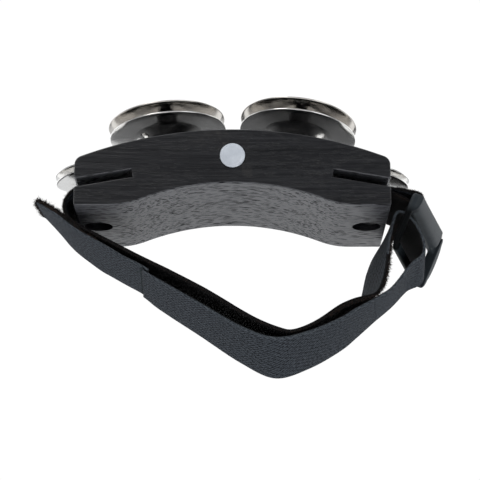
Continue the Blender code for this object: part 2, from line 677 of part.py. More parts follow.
def ring_box(name, u0, u1, v0, v1):
    """A box cutter right through the ring."""
    corners = [(u0, v0), (u1, v0), (u1, v1), (u0, v1)]
    verts = [ring_local(u, v, n) for n in (-CUT_HALF_N, CUT_HALF_N) for u, v in corners]
    faces = [(0, 1, 2, 3), (7, 6, 5, 4), (0, 4, 5, 1), (1, 5, 6, 2), (2, 6, 7, 3), (3, 7, 4, 0)]
    return add_object(name, verts, faces, None, RING_FRAME)


def ring_section(name, u0, near, u1, far):
    """A cutter from a (v, n) section at u0 to one at u1."""
    count = len(near)
    verts = [ring_local(u0, v, n) for v, n in near]
    verts += [ring_local(u1, v, n) for v, n in far]
    faces = triangle_sides(count)
    faces += [tuple(reversed(range(count))), tuple(range(count, 2 * count))]
    return add_object(name, verts, faces, None, RING_FRAME)


def build_ring():
    ring = ring_slab("buckle_ring", -RING_T / 2, RING_T / 2, RING_EDGE, "buckle_plastic")
    head = ring_section("ring_head", HOOD_SPAN[0], HOOD_FOOT + HOOD_NEAR,
                        HOOD_SPAN[1], HOOD_FOOT + HOOD_FAR)
    cut(ring, head, 'UNION')
    cheek = ring_slab("ring_far_cheek", *CHEEK_N, CHEEK_EDGE, None)
    cut(cheek, ring_box("ring_far_cheek_keep", OPENING_HALF, CHEEK_OUTER_U, *CHEEK_V),
        'INTERSECT')
    cut(ring, cheek, 'UNION')
    cut(ring, ring_section("ring_pocket_cut", -OPENING_HALF, POCKET, OPENING_HALF, POCKET))
    cut(ring, ring_box("ring_mouth_cut", -OPENING_HALF, OPENING_HALF, PLATE_V[1], RAIL_V))
    along_u = Matrix.Rotation(math.radians(90), 4, 'Y')
    cut(ring, rod("ring_bar", BAR_R, *BAR_SPAN, None, RING_FRAME @ along_u, 16), 'UNION')


# -------------------------------------------- short webbing loop at the right
def lasso(y):
    """Outer and inner XZ outlines of the short loop at depth y: two layers
    that leave the slot together and wrap the buckle bar."""
    u = (y - BAR_MID.y) / RING_U.y
    centre = Vector((BAR_MID.x + RING_U.x * u, BAR_MID.z + RING_U.z * u))
    inner_r = BAR_R + LOOP_BAR_PLAY
    outer_r = inner_r + LOOP_T
    half = SLOT_H / 2 - LOOP_SLOT_PLAY

    def in_slot(x, layer):
        z = SLOT_MOUTH_Z + (BLOCK_HALF - x) * math.tan(TILT)
        return Vector((x + layer * half * math.sin(TILT), z + layer * half * math.cos(TILT)))

    def tangent_angle(point, layer):
        offset = point - centre
        return math.atan2(offset.y, offset.x) - layer * math.acos(outer_r / offset.length)

    def direction(angle):
        return Vector((math.cos(angle), math.sin(angle)))

    top = [in_slot(x, 1) for x in LOOP_X]
    low = [in_slot(x, -1) for x in LOOP_X]
    # from the top layer round the outside of the bar to the lower layer
    start = tangent_angle(top[-1], 1)
    end = tangent_angle(low[-1], -1) - 2 * math.pi
    wrap = [direction(start + (end - start) * i / LOOP_ARC_STEPS)
            for i in range(LOOP_ARC_STEPS + 1)]
    outer = top + [centre + d * outer_r for d in wrap] + low[::-1]
    inner = [centre + d * inner_r for d in wrap]

    # the gap between the layers closes where their inner faces meet
    first, last = wrap[0], wrap[-1]
    top_line = Vector((-first.y, first.x))
    low_line = Vector((last.y, -last.x))
    across = inner[-1] - inner[0]
    reach = ((across.x * low_line.y - across.y * low_line.x)
             / (top_line.x * low_line.y - top_line.y * low_line.x))
    return outer, inner + [inner[0] + top_line * reach]


def loft(name, near, far, half_width, material):
    """A solid between two XZ outlines with matching points."""
    verts = [world(p[0], -half_width, p[1]) for p in near]
    verts += [world(p[0], half_width, p[1]) for p in far]
    faces = triangle_sides(len(near)) + end_caps(len(near), 2)
    return add_object(name, verts, faces, material)


def build_short_loop():
    loop = loft("short_loop", lasso(-STRAP_HALF)[0], lasso(STRAP_HALF)[0], STRAP_HALF, "webbing")
    wide = STRAP_HALF + LOOP_CUT_OVERRUN
    cut(loop, loft("short_loop_cut", lasso(-wide)[1], lasso(wide)[1], wide, None))
    cut_eye(loop, "short_loop_eye_cut", SIDES["right"])


# ------------------------------------------------------------------- build
for old in list(bpy.data.objects):
    bpy.data.objects.remove(old, do_unlink=True)
for old in list(bpy.data.meshes):
    bpy.data.meshes.remove(old)

build_block_and_badge()
for side_name, side in SIDES.items():
    build_top_group(side_name, side)
    build_end_group(side_name, side)
build_strap()
build_ring()
build_short_loop()
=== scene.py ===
import math
import random
import bpy
import bmesh
from mathutils import Matrix, Vector, noise


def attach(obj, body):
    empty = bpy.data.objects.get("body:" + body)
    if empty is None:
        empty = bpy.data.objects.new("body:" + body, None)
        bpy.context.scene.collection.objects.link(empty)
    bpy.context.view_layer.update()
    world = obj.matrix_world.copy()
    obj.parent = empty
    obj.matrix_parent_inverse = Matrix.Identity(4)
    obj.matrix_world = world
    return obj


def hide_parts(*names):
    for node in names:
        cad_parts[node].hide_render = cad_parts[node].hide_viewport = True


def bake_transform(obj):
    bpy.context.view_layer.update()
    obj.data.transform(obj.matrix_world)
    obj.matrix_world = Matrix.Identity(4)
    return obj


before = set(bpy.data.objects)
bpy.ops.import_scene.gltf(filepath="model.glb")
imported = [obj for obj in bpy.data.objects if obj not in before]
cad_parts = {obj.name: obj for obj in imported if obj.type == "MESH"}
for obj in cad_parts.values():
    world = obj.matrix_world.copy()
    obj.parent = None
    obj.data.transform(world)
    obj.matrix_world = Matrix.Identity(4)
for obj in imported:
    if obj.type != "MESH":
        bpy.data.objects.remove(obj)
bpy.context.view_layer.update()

MM = 0.001
rng = random.Random(7)
scene = bpy.context.scene
collection = scene.collection

# ============================================================== dimensions
# block
CROWN = 11.1                # height of the arch's crown
BLOCK_HALF = 75.0
BLOCK_DEPTH = 70.0
CROWN_FLAT = 3.0            # half length of the flat at the crown
ARCH_R = 120.0
FOOT_FILLET_R = 40.0
FOOT_CORNER_R = 0.9
TOP_R = 200.0
APEX = 38.0
SHOULDER_R = 4.5
FACE_EDGE_R = 0.7           # rounding of the front and back edges
TILT = math.radians(10.0)   # lean of the end bolts and rise of the strap slots
SLOT_MOUTH_Z = 11.2
SLOT_LENGTH_X = 27.2
SLOT_H = 3.9

# end bays; "level" is a distance along the bolt's or the pin's axis
BOLT_X = 65.6
BAY_FLOOR_LEVEL = 17.6
BAY_R = 20.0
BAY_CENTRE_X = 71.5
COUNTERBORE_R = 6.9
COUNTERBORE_LEVEL = 6.0
BOLT_HOLE_R = 2.85

BADGE_R = 6.0
BADGE_Z = 24.7
BADGE_RECESS = 1.2
BADGE_GAP = 0.35

# jingles; a dome is (radius, height) from its foot to its hole
SHEET = 0.8
PIN_X = 30.8
PIN_TILT = math.radians(6.5)
TOP_RIM_R = 29.0
TOP_DOME = [(17.0, 0.0), (15.2, 0.45), (13.0, 1.7), (10.8, 3.4), (8.4, 4.9), (5.6, 5.6), (3.0, 5.6)]
TOP_LEVELS = (12.1, 17.6)
END_RIM_R = 17.25
END_DOME = [(7.9, 0.0), (7.0, 0.4), (5.7, 1.9), (4.4, 2.8), (3.0, 2.8)]

# straps
STRAP_HALF = 25.0
STRAP_T = 1.35
TAB_T = 1.2
LOOP_T = 1.4
CROSS = 60                  # steps across a strap

# ring buckle: its bar's middle, the bar's direction and the way the ring hangs
RING_BAR = Vector((94.9, 0.0, 4.65))
RING_ALONG = Vector((0.267, 0.960, -0.0816)).normalized()
RING_FALL = Vector((-0.4014, 0.0, -0.9158))
RING_HEIGHT = 29.6
RING_HALF = 31.5
NEAR_HALF = 30.2            # the same at the front end
RING_BULGE = 2.4
RING_T = 3.0
OPENING_HALF = 28.0
BAR_FALL = 1.7              # from the ring's upper edge to the bar's middle
BAR_R = 1.4
PLATE_FROM = 6.2            # the plate below the hood, as distances down the ring
PLATE_TO = 9.8
RAIL_FROM = 25.6
HOOD_END = 21.5
CHEEK_FACE = 3.6            # how far the back cheek stands out

# hood sections: (distance down the ring, distance out of its plane)
HOOD_NEAR = [(9.0, 2.3), (8.0, 3.5), (6.4, 4.15), (4.4, 4.4), (2.8, 4.4), (1.6, 4.3), (1.2, 3.9)]
HOOD_FAR = [(9.0, 2.8), (8.4, 3.9), (6.8, 4.5), (4.0, 4.7), (1.6, 4.6), (0.0, 4.4), (-0.4, 4.0)]
HOOD_INSIDE = [(-0.6, 3.4), (1.2, 3.55), (3.2, 3.5), (4.6, 3.3), (5.6, 2.4), (6.2, 1.0)]

# Strap edge lines as (x, z). Near is the front edge, far the back edge.
# The lap runs from the left slot under the block, up the inside of the ring,
# round its lower rail and back inwards.
LAP_NEAR = [
    # under the block
    (-50, 15.6), (-58, 14.2), (-66, 12.8), (-74.5, 11.3), (-77.6, 9.3), (-79.9, 5.5), (-80.2, 2),
    (-79.2, -1.2), (-76.2, -4.6), (-70.7, -8.1), (-62, -12.6), (-53.5, -17.1), (-41.4, -23.4),
    (-29.7, -29.2), (-12.2, -38.6), (4.8, -49.1), (14, -54), (22.7, -57.4), (27.9, -58.2),
    (34.5, -56.2), (41.5, -52.5), (50.3, -46.4), (57, -43.3), (63, -41.7), (67.6, -40.2),
    (70.2, -36.6), (71.6, -32.6),
    # up and over at the ring
    (72.1, -30.8), (72.9, -26.7), (73.5, -22.3), (74.1, -18), (74.8, -13), (75.8, -8.5), (76.8, -4),
    (77.7, -1.3), (79.4, 0.1), (82.0, -0.4), (84.4, -2.4), (87.0, -5.6), (89.0, -9.4),
    (90.4, -13.4), (91.0, -17.2), (90.6, -20.4), (89.0, -22.7), (86.6, -24.4),
    # back inwards
    (85.5, -25.3), (82.9, -28.2), (80.0, -32.2), (74.5, -38.6), (66.3, -43.6)]
LAP_FAR = [
    (-50, 15.6), (-58, 14.2), (-66, 12.8), (-74.5, 11.3), (-77.4, 9.3), (-78.6, 6.3), (-78.2, 3.4),
    (-76.6, 0.6), (-73.4, -2.8), (-68.2, -6.9), (-61, -11.8), (-53.0, -17.0), (-41.4, -24.2),
    (-29.7, -30.6), (-12.2, -41.2), (4.8, -53.0), (14, -58.8), (22.7, -63.2), (27.5, -64.2),
    (33.5, -61.8), (40, -57.2), (48, -50.2), (54, -46.0), (58.5, -42.8), (61.2, -39.6),
    (62.9, -35.6), (63.9, -31.6),
    (64.3, -29.8), (65.3, -25.5), (66.2, -21.3), (67.3, -17.2), (70.0, -10.4), (73.6, -4.6),
    (76.6, -1.0), (78.8, 0.8), (81.6, 0.8), (84.0, -1.6), (85.2, -4.9), (86.4, -8.3),
    (88.3, -11.7), (91.2, -14.9), (94.1, -17.9), (94.9, -20.9), (93.9, -24.2), (91.2, -25.6),
    (89.9, -25.9), (86.9, -26.6), (84.3, -28.4), (78.0, -34.6), (70.0, -41.4)]
# the tail goes on from the lap, back to the left
TAIL_NEAR = [
    LAP_NEAR[-1], (65.1, -44.3), (58, -48.2), (50.4, -52.8), (36, -58.9), (20, -62.0), (4, -56.7),
    (-15.4, -45.4), (-28.5, -37.8), (-43.0, -29.2)]
TAIL_FAR = [
    LAP_FAR[-1], (68.7, -42.6), (61, -49.6), (53, -56.3), (37.5, -65.2), (21, -70), (4.5, -62.5),
    (-16, -48.6), (-29.6, -39.6), (-44.6, -29.2)]
# the hook tab sewn to the tail's left end
TAB_NEAR = [
    (-39.8, -29.0), (-42.5, -27.3), (-46.5, -25.1), (-51.5, -22.6), (-57.5, -18.9), (-63, -15.6),
    (-72.5, -10.1), (-78, -6.2), (-82.6, -2.4), (-87.5, 0.9), (-93.6, 4.3)]
TAB_FAR = [
    (-41.4, -29.2), (-44.1, -27.4), (-48.1, -25.1), (-53.5, -22.2), (-60.0, -18.4), (-66, -14.8),
    (-75.7, -7.4), (-81, -2.4), (-86.0, 3.6), (-90.5, 8.6), (-94.6, 13)]


def point(x, y, z):
    """A place in metres, from millimetres with the height above the feet."""
    return Vector((x * MM, y * MM, (z - CROWN) * MM))


# ============================================================ shader nodes
def rgba(color):
    """Four channels from a grey level or an RGB triple."""
    if isinstance(color, (int, float)):
        color = (color,) * 3
    return (*color, 1.0)


def scaled(color, factor):
    return tuple(channel * factor for channel in color)


class Wire:
    """A node's output. Arithmetic on it adds Math nodes."""

    def __init__(self, nodes, socket):
        self.nodes = nodes
        self.socket = socket

    def __add__(self, other):
        return self.nodes.math('ADD', self, other)

    def __radd__(self, other):
        return self.nodes.math('ADD', other, self)

    def __sub__(self, other):
        return self.nodes.math('SUBTRACT', self, other)

    def __rsub__(self, other):
        return self.nodes.math('SUBTRACT', other, self)

    def __mul__(self, other):
        return self.nodes.math('MULTIPLY', self, other)

    def __truediv__(self, other):
        return self.nodes.math('DIVIDE', self, other)

    def clamped(self):
        """Limits the Math node behind this output to 0..1."""
        self.socket.node.use_clamp = True
        return self


class Nodes:
    """Builds a node tree."""

    def __init__(self, tree):
        self.tree = tree

    def put(self, socket, value):
        if isinstance(value, Wire):
            self.tree.links.new(value.socket, socket)
        else:
            socket.default_value = rgba(value) if socket.type == 'RGBA' else value

    def node(self, kind, output, inputs={}, **settings):
        """Adds a node and returns one of its outputs."""
        node = self.tree.nodes.new(kind)
        for key, value in settings.items():
            setattr(node, key, value)
        for key, value in inputs.items():
            self.put(node.inputs[key], value)
        return Wire(self, node.outputs[output])

    def math(self, operation, first, second=0.0):
        return self.node("ShaderNodeMath", 0, {0: first, 1: second}, operation=operation)

    def coords(self, output="Object"):
        return self.node("ShaderNodeTexCoord", output)

    def geometry(self, output):
        return self.node("ShaderNodeNewGeometry", output)

    def xyz(self, vector):
        first = self.node("ShaderNodeSeparateXYZ", 0, {0: vector})
        return [Wire(self, socket) for socket in first.socket.node.outputs]

    def ramp(self, value, *stops):
        """A colour ramp through (position, colour) stops."""
        wire = self.node("ShaderNodeValToRGB", "Color", {"Fac": value})
        elements = wire.socket.node.color_ramp.elements
        elements.remove(elements[-1])
        elements[0].position = stops[0][0]
        elements[0].color = rgba(stops[0][1])
        for position, color in stops[1:]:
            elements.new(position).color = rgba(color)
        return wire

    def texture(self, kind, output, vector, scale, inputs, rotation=(0, 0, 0), location=(0, 0, 0)):
        """A texture. A scale of three numbers goes through a Mapping node."""
        if isinstance(scale, tuple):
            vector = self.node("ShaderNodeMapping", "Vector", {
                "Vector": vector, "Scale": scale, "Rotation": rotation, "Location": location})
            scale = 1.0
        return self.node(kind, output, {"Vector": vector, "Scale": scale, **inputs})

    def noise(self, vector, scale, detail, rough, distortion=0.0, output="Fac", **mapping):
        inputs = {"Detail": detail, "Roughness": rough, "Distortion": distortion}
        return self.texture("ShaderNodeTexNoise", output, vector, scale, inputs, **mapping)

    def voronoi(self, vector, scale, **mapping):
        return self.texture("ShaderNodeTexVoronoi", "Distance", vector, scale, {}, **mapping)

    def mix(self, share, first, second):
        """Goes from the first colour to the second as the share rises."""
        return self.node("ShaderNodeMix", 2, {0: share, 6: first, 7: second}, data_type='RGBA')

    def bump(self, height, distance, strength, **under):
        inputs = {"Strength": strength, "Distance": distance, "Height": height, **under}
        return self.node("ShaderNodeBump", "Normal", inputs)


class Material(Nodes):
    def __init__(self, name):
        self.material = bpy.data.materials.new(name)
        self.material.use_nodes = True
        super().__init__(self.material.node_tree)

    def finish(self, color, rough, **more):
        """Fills the shader's sockets; underscores in names stand for spaces."""
        sockets = self.tree.nodes["Principled BSDF"].inputs
        for key, value in {"Base_Color": color, "Roughness": rough, **more}.items():
            self.put(sockets[key.replace("_", " ")], value)
        return self.material


# =============================================================== materials
def wood_material():
    """Black stained hardwood: fine streaks along the block and open pores. Faces that look down are
    painted paler, a painted reflection, and their pores are painted stronger."""
    mat = Material("black_stained_hardwood")
    place_in = mat.coords()
    warp = mat.noise(place_in, 22.0, detail=2.0, rough=0.5, output="Color")
    warped = mat.node("ShaderNodeMix", 1, {0: 0.0022, 4: place_in, 5: warp}, data_type='VECTOR')
    streak = mat.noise(warped, (26, 700, 900), detail=5.0, rough=0.62)
    broad = mat.noise(warped, (8, 120, 150), detail=3.0, rough=0.55)
    fine_pores = mat.voronoi(warped, (165, 1150, 1300))
    long_pores = mat.voronoi(warped, (90, 820, 900), location=(3.1, 7.7, 1.3))
    patch = mat.noise(warped, (30, 160, 160), detail=2.0, rough=0.5)
    gate = mat.ramp(patch, (0.32, 0.25), (0.58, 1.0))
    fine_pores = mat.ramp(fine_pores, (0.0, 1.0), (0.27, 0.95), (0.38, 0.0))
    long_pores = mat.ramp(long_pores, (0.0, 1.0), (0.24, 0.9), (0.34, 0.0))
    # painted reflection: this mask picks the faces that look down, which are painted paler and
    # given stronger pores
    down = mat.ramp(mat.xyz(mat.geometry("True Normal"))[2] * -1.0, (0.25, 0.0), (0.6, 1.0))
    pores = (mat.math('MAXIMUM', fine_pores, long_pores) * gate).clamped()
    pores = (pores * (0.42 + down * 0.58)).clamped()
    tone = streak * 0.6 + broad * 0.4
    color = mat.ramp(tone, (0.3, (0.005, 0.0052, 0.0066)), (0.5, (0.0095, 0.0098, 0.0122)),
                     (0.72, (0.018, 0.0185, 0.0218)))
    # painted reflection: faces that look down are mixed towards a pale grey
    color = mat.mix(down * 0.58, color, (0.085, 0.087, 0.097))
    color = mat.mix(pores * 0.9, color, (0.0012, 0.0012, 0.0015))
    # edges rubbed paler
    worn = mat.ramp(mat.geometry("Pointiness"), (0.5, 0.0), (0.56, 0.0), (0.62, 1.0))
    rub = mat.noise(place_in, 260.0, detail=3.0, rough=0.6)
    worn = worn * mat.ramp(rub, (0.4, 0.0), (0.7, 0.5))
    color = mat.mix(worn, color, (0.045, 0.042, 0.040))
    rough = (tone * 0.2 + 0.27 + pores * 0.4).clamped()
    normal = mat.bump(tone * 0.35 - pores * 1.0, distance=0.00022, strength=0.7)
    gloss = 0.58 - pores * 0.56
    gloss = (gloss * mat.ramp(streak, (0.3, 0.62), (0.62, 1.0))).clamped()
    return mat.finish(color, rough, Normal=normal, Specular_IOR_Level=gloss)


def sheet_material(name, tint, rough):
    """Bright plated sheet: faint rings round the axis, smudges and specks."""
    mat = Material(name)
    place_in = mat.coords()
    x = mat.xyz(place_in)[0]
    y = mat.xyz(place_in)[1]
    radius = mat.math('SQRT', x * x + y * y)
    radial = mat.node("ShaderNodeCombineXYZ", 0, {0: radius})
    rings = mat.noise(radial, (5200.0, 1, 1), detail=3.0, rough=0.7)
    smudge = mat.noise(place_in, 85.0, detail=4.0, rough=0.6, distortion=0.6)
    fine = mat.noise(place_in, 1500.0, detail=2.0, rough=0.5)
    rough = rough + mat.ramp(smudge, (0.45, 0.0), (0.75, 1.0)) * 0.12 + rings * 0.03
    color = mat.mix(mat.ramp(smudge, (0.4, 0.0), (0.8, 0.5)), tint, scaled(tint, 0.86))
    specks = mat.noise(place_in, 620.0, detail=3.0, rough=0.7)
    color = mat.mix(mat.ramp(specks, (0.66, 0.0), (0.74, 0.35)), color, scaled(tint, 0.45))
    wave = mat.noise(place_in, 38.0, detail=1.0, rough=0.4)
    waved = mat.bump(wave, distance=0.0006, strength=0.22)
    normal = mat.bump(rings * 0.5 + fine * 0.12, distance=0.00002, strength=0.35, Normal=waved)
    return mat.finish(color, rough, Normal=normal, Metallic=1.0)


def grained_material(name, dark, light, grain, mottle, rough, relief, metal=0.0):
    """A mottled surface with a fine grain. Grain and mottle are noise
    settings, rough is (least, gain from the grain), relief is a bump's."""
    mat = Material(name)
    place_in = mat.coords()
    grains = mat.noise(place_in, **grain)
    color = mat.ramp(mat.noise(place_in, **mottle), (0.3, dark), (0.7, light))
    least, gain = rough
    return mat.finish(color, least + grains * gain, Normal=mat.bump(grains, **relief),
                      Metallic=metal)


def buckle_material():
    """Satin moulded plastic with a fine texture; its ridges carry a painted highlight and its front
    end painted shade.
    """
    mat = Material("moulded_plastic")
    place_in = mat.coords()
    spark = mat.noise(place_in, 3300.0, detail=3.0, rough=0.65)
    mottle = mat.noise(place_in, 130.0, detail=3.0, rough=0.55)
    # painted highlight: convex ridges are painted paler
    ridge_highlight = mat.ramp(mat.geometry("Pointiness"), (0.5, 0.0), (0.535, 0.1), (0.6, 1.0))
    color = mat.ramp(mottle, (0.3, (0.018, 0.023, 0.027)), (0.7, (0.025, 0.031, 0.036)))
    color = mat.mix(ridge_highlight * 0.4, color, (0.06, 0.07, 0.078))
    scuff = mat.noise(place_in, (900, 900, 90), detail=2.0, rough=0.6)
    scuff = mat.ramp(scuff, (0.62, 0.0), (0.74, 1.0))
    rough = 0.42 + spark * 0.16 + scuff * 0.12
    normal = mat.bump(spark * 0.7 + scuff * -0.3, distance=0.00006, strength=0.6)
    # painted shade: the front end, from a little below the bar, is painted darker and given less
    # specular
    along = mat.xyz(mat.coords())[0] * 1000.0
    fall = mat.xyz(mat.coords())[1] * 1000.0
    shade = mat.ramp((along + 40.0) / 80.0, (0.168, 1.0), (0.19, 0.0))
    shade = (shade * mat.ramp(fall / 30.0, (0.16, 0.0), (0.3, 1.0))).clamped()
    color = mat.mix(shade, color, (0.004, 0.0045, 0.005))
    return mat.finish(color, rough, Normal=normal, Specular_IOR_Level=0.16 - shade * 0.14)


def weave_material(name, dark, light, row_pitch, yarn_pitch):
    """Woven webbing from UVs in millimetres: ribbed yarns in a fine twill,
    with a little slub and lint. The row pitch is along the strap."""
    mat = Material(name)
    cloth = mat.coords("UV")
    axes = mat.xyz(cloth)
    wobble = mat.noise(cloth, (0.35, 0.35, 1), detail=2.0, rough=0.5)
    along = axes[0] + wobble * 0.5
    across = axes[1] + wobble * 0.35
    rows = along / row_pitch
    yarns = across / yarn_pitch
    shift = mat.math('FLOORED_MODULO', mat.math('FLOOR', rows), 4.0) * 0.25
    warp = mat.math('ABSOLUTE', mat.math('SINE', yarns * math.pi))
    slant = (rows - across / (row_pitch * 1.4)) * math.pi
    weft = mat.math('ABSOLUTE', mat.math('SINE', slant))
    twill = mat.math('SINE', (yarns * 0.5 + shift * 2.0) * math.pi)
    height = (mat.math('POWER', warp, 0.6) * 0.55 + mat.math('POWER', weft, 0.7) * 0.5
              + twill * 0.12)
    fuzz = mat.noise(cloth, (7, 7, 1), detail=3.0, rough=0.7)
    slub = mat.noise(cloth, (0.25, 1.9, 1), detail=2.0, rough=0.5)
    mottle = mat.noise(cloth, (0.85, 0.95, 1), detail=3.0, rough=0.75, rotation=(0, 0, 0.4))
    tone = ((height - 0.72) * 0.95 + fuzz * 0.2 + 0.36
            + (slub - 0.5) * 0.6 + (mottle - 0.5) * 2.6)
    color = mat.ramp(tone, (0.26, dark), (0.74, light))
    lint = mat.noise(cloth, (3.1, 3.1, 1), detail=5.0, rough=0.8, rotation=(0, 0, 0.6))
    color = mat.mix(mat.ramp(lint, (0.70, 0.0), (0.78, 0.5)), color, scaled(light, 2.2))
    normal = mat.bump(height + fuzz * 0.45, distance=0.00016, strength=0.8)
    return mat.finish(color, 0.85, Normal=normal, Specular_IOR_Level=0.06)


def pile_material(name, dark, light):
    """Short brushed pile, from UVs in millimetres."""
    mat = Material(name)
    cloth = mat.coords("UV")
    tufts = mat.noise(cloth, (2.6, 3.2, 1), detail=6.0, rough=0.8, distortion=0.8)
    broad = mat.noise(cloth, (0.3, 0.35, 1), detail=3.0, rough=0.6)
    curl = mat.voronoi(cloth, (2.1, 2.4, 1))
    color = mat.ramp(tufts * 0.7 + broad * 0.3, (0.32, dark), (0.68, light))
    normal = mat.bump(tufts * 0.9 + curl * 0.5, distance=0.0005, strength=0.8)
    return mat.finish(color, 0.95, Normal=normal, Sheen_Weight=0.008, Sheen_Roughness=0.6,
                      Specular_IOR_Level=0.06)


def thread_material(name, color):
    mat = Material(name)
    place_in = mat.coords()
    twist = mat.noise(place_in, (2600, 2600, 2600), detail=3.0, rough=0.6)
    mottle = mat.noise(place_in, (300, 300, 300), detail=2.0, rough=0.6)
    return mat.finish(mat.mix(mottle, scaled(color, 0.5), color), 0.75,
                      Normal=mat.bump(twist, distance=0.00005, strength=0.6),
                      Sheen_Weight=0.02, Specular_IOR_Level=0.15)


FINE_RELIEF = dict(distance=0.00004, strength=0.5)

WOOD = wood_material()
NICKEL = sheet_material("nickel_plated_sheet", tint=(0.80, 0.79, 0.772), rough=0.11)
# painted shade and painted warm reflection: a darker, warmer copy of the same nickel, used for the
# upper jingles
NICKEL_SHADED_WARM = sheet_material("nickel_plated_sheet_shaded_warm", tint=(0.60, 0.575, 0.545), rough=0.13)
ZINC = grained_material(
    "zinc_plated_steel", dark=(0.42, 0.42, 0.43), light=(0.62, 0.62, 0.63),
    grain=dict(scale=900.0, detail=4.0, rough=0.6),
    mottle=dict(scale=160.0, detail=3.0, rough=0.6),
    rough=(0.26, 0.2), relief=FINE_RELIEF, metal=1.0)
NYLON = grained_material(
    "black_nylon", dark=(0.012, 0.012, 0.013), light=(0.022, 0.022, 0.024),
    grain=dict(scale=2600.0, detail=3.0, rough=0.6),
    mottle=dict(scale=210.0, detail=2.0, rough=0.5),
    rough=(0.38, 0.2), relief=FINE_RELIEF)
OXIDE = grained_material(
    "black_oxide_steel", dark=(0.018, 0.018, 0.02), light=(0.045, 0.045, 0.048),
    grain=dict(scale=1100.0, detail=4.0, rough=0.6),
    mottle=dict(scale=200.0, detail=3.0, rough=0.6),
    rough=(0.35, 0.25), relief=FINE_RELIEF, metal=1.0)
PLASTIC = buckle_material()
BADGE = grained_material(
    "badge_disc", dark=(0.52, 0.56, 0.62), light=(0.63, 0.67, 0.73),
    grain=dict(scale=1900.0, detail=3.0, rough=0.6),
    mottle=dict(scale=240.0, detail=3.0, rough=0.6),
    rough=(0.32, 0.15), relief=dict(distance=0.00003, strength=0.4))
WEAVE = weave_material("webbing_face", dark=(0.0025, 0.0034, 0.0048),
                       light=(0.056, 0.064, 0.076), row_pitch=2.0, yarn_pitch=1.1)
PILE = pile_material("webbing_pile", dark=(0.003, 0.003, 0.0033), light=(0.012, 0.0115, 0.0125))
SELVEDGE = weave_material("webbing_selvedge", dark=(0.022, 0.026, 0.032),
                          light=(0.085, 0.096, 0.108), row_pitch=0.9, yarn_pitch=0.5)
DARK_EDGE = weave_material("webbing_dark_edge", dark=(0.003, 0.003, 0.0032),
                           light=(0.015, 0.014, 0.0145), row_pitch=0.7, yarn_pitch=0.5)
HOOK = pile_material("hook_tape_face", dark=(0.004, 0.004, 0.004), light=(0.02, 0.018, 0.017))
LOOP_PILE = pile_material("short_loop_pile", dark=(0.003, 0.003, 0.0032),
                          light=(0.014, 0.0125, 0.012))
FIBRE_DARK = thread_material("pile_fibre_dark", (0.010, 0.0095, 0.010))
FIBRE_BROWN = thread_material("pile_fibre_brown", (0.05, 0.03, 0.022))
THREAD = thread_material("seam_thread", (0.022, 0.036, 0.036))


# ============================================================ mesh helpers
def soften(mesh, angle):
    """Smooth shading, with edges sharper than the angle kept hard."""
    mesh.shade_smooth()
    if angle is not None:
        mesh.set_sharp_from_angle(angle=math.radians(angle))


def new_object(name, verts, faces, materials, matrix=None, angle=35.0, fix=True,
               index=None, uvs=None):
    """A mesh object. Index gives each face's material, uvs each face's
    corners, and fix turns the faces outward."""
    mesh = bpy.data.meshes.new(name)
    mesh.from_pydata([tuple(v) for v in verts], [], faces)
    if uvs is not None:
        layer = mesh.uv_layers.new(name="UVMap")
        layer.data.foreach_set("uv", [c for face in uvs for corner in face for c in corner])
    if index is not None:
        mesh.polygons.foreach_set("material_index", index)
    if fix:
        work = bmesh.new()
        work.from_mesh(mesh)
        bmesh.ops.recalc_face_normals(work, faces=work.faces[:])
        if work.calc_volume(signed=True) < 0:
            bmesh.ops.reverse_faces(work, faces=work.faces[:])
        work.to_mesh(mesh)
        work.free()
    soften(mesh, angle)
    for material in materials:
        mesh.materials.append(material)
    obj = bpy.data.objects.new(name, mesh)
    if matrix is not None:
        obj.matrix_world = matrix
    collection.objects.link(obj)
    return obj


def modify(obj, name, kind, **settings):
    modifier = obj.modifiers.new(name, kind)
    for key, value in settings.items():
        setattr(modifier, key, value)


def boolean(obj, other, operation='DIFFERENCE'):
    modify(obj, "bool", 'BOOLEAN', operation=operation, solver='EXACT', object=other)


def bake(obj, cutters=(), angle=None):
    """Applies the modifiers and removes the cutters."""
    bpy.context.view_layer.update()
    graph = bpy.context.evaluated_depsgraph_get()
    mesh = bpy.data.meshes.new_from_object(obj.evaluated_get(graph))
    old = obj.data
    obj.modifiers.clear()
    obj.data = mesh
    bpy.data.meshes.remove(old)
    for cutter in cutters:
        bpy.data.objects.remove(cutter, do_unlink=True)
    if angle is not None:
        soften(mesh, angle)


def place(obj, body, slot, *replaced):
    """Rides the object on a body, in place of the named pieces."""
    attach(obj, body)
    if replaced:
        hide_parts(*replaced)


def place_blended(obj, body, start, end, *replaced):
    """Bakes the webbing's placement into its mesh, in place of the named pieces."""
    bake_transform(obj)
    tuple(start)
    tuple(end)
    if replaced:
        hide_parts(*replaced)


def bridge(rings, segs, closed=False):
    """Faces between neighbouring rings of vertex numbers. A ring of one
    vertex is a pole."""
    pairs = list(zip(rings, rings[1:]))
    if closed:
        pairs.append((rings[-1], rings[0]))
    faces = []
    for a, b in pairs:
        for k in range(segs):
            q = (k + 1) % segs
            if len(a) == 1:
                faces.append((a[0], b[q], b[k]))
            elif len(b) == 1:
                faces.append((a[k], a[q], b[0]))
            else:
                faces.append((a[k], a[q], b[q], b[k]))
    return faces


def loft(rows, first_reversed=False):
    """Vertices and faces of a capped solid through rows of points. One cap
    runs against its row: the first or the last."""
    count = len(rows[0])
    rings = [tuple(range(k * count, (k + 1) * count)) for k in range(len(rows))]
    faces = bridge(rings, count)
    if first_reversed:
        faces += [rings[0][::-1], rings[-1]]
    else:
        faces += [rings[0], rings[-1][::-1]]
    return [v for row in rows for v in row], faces


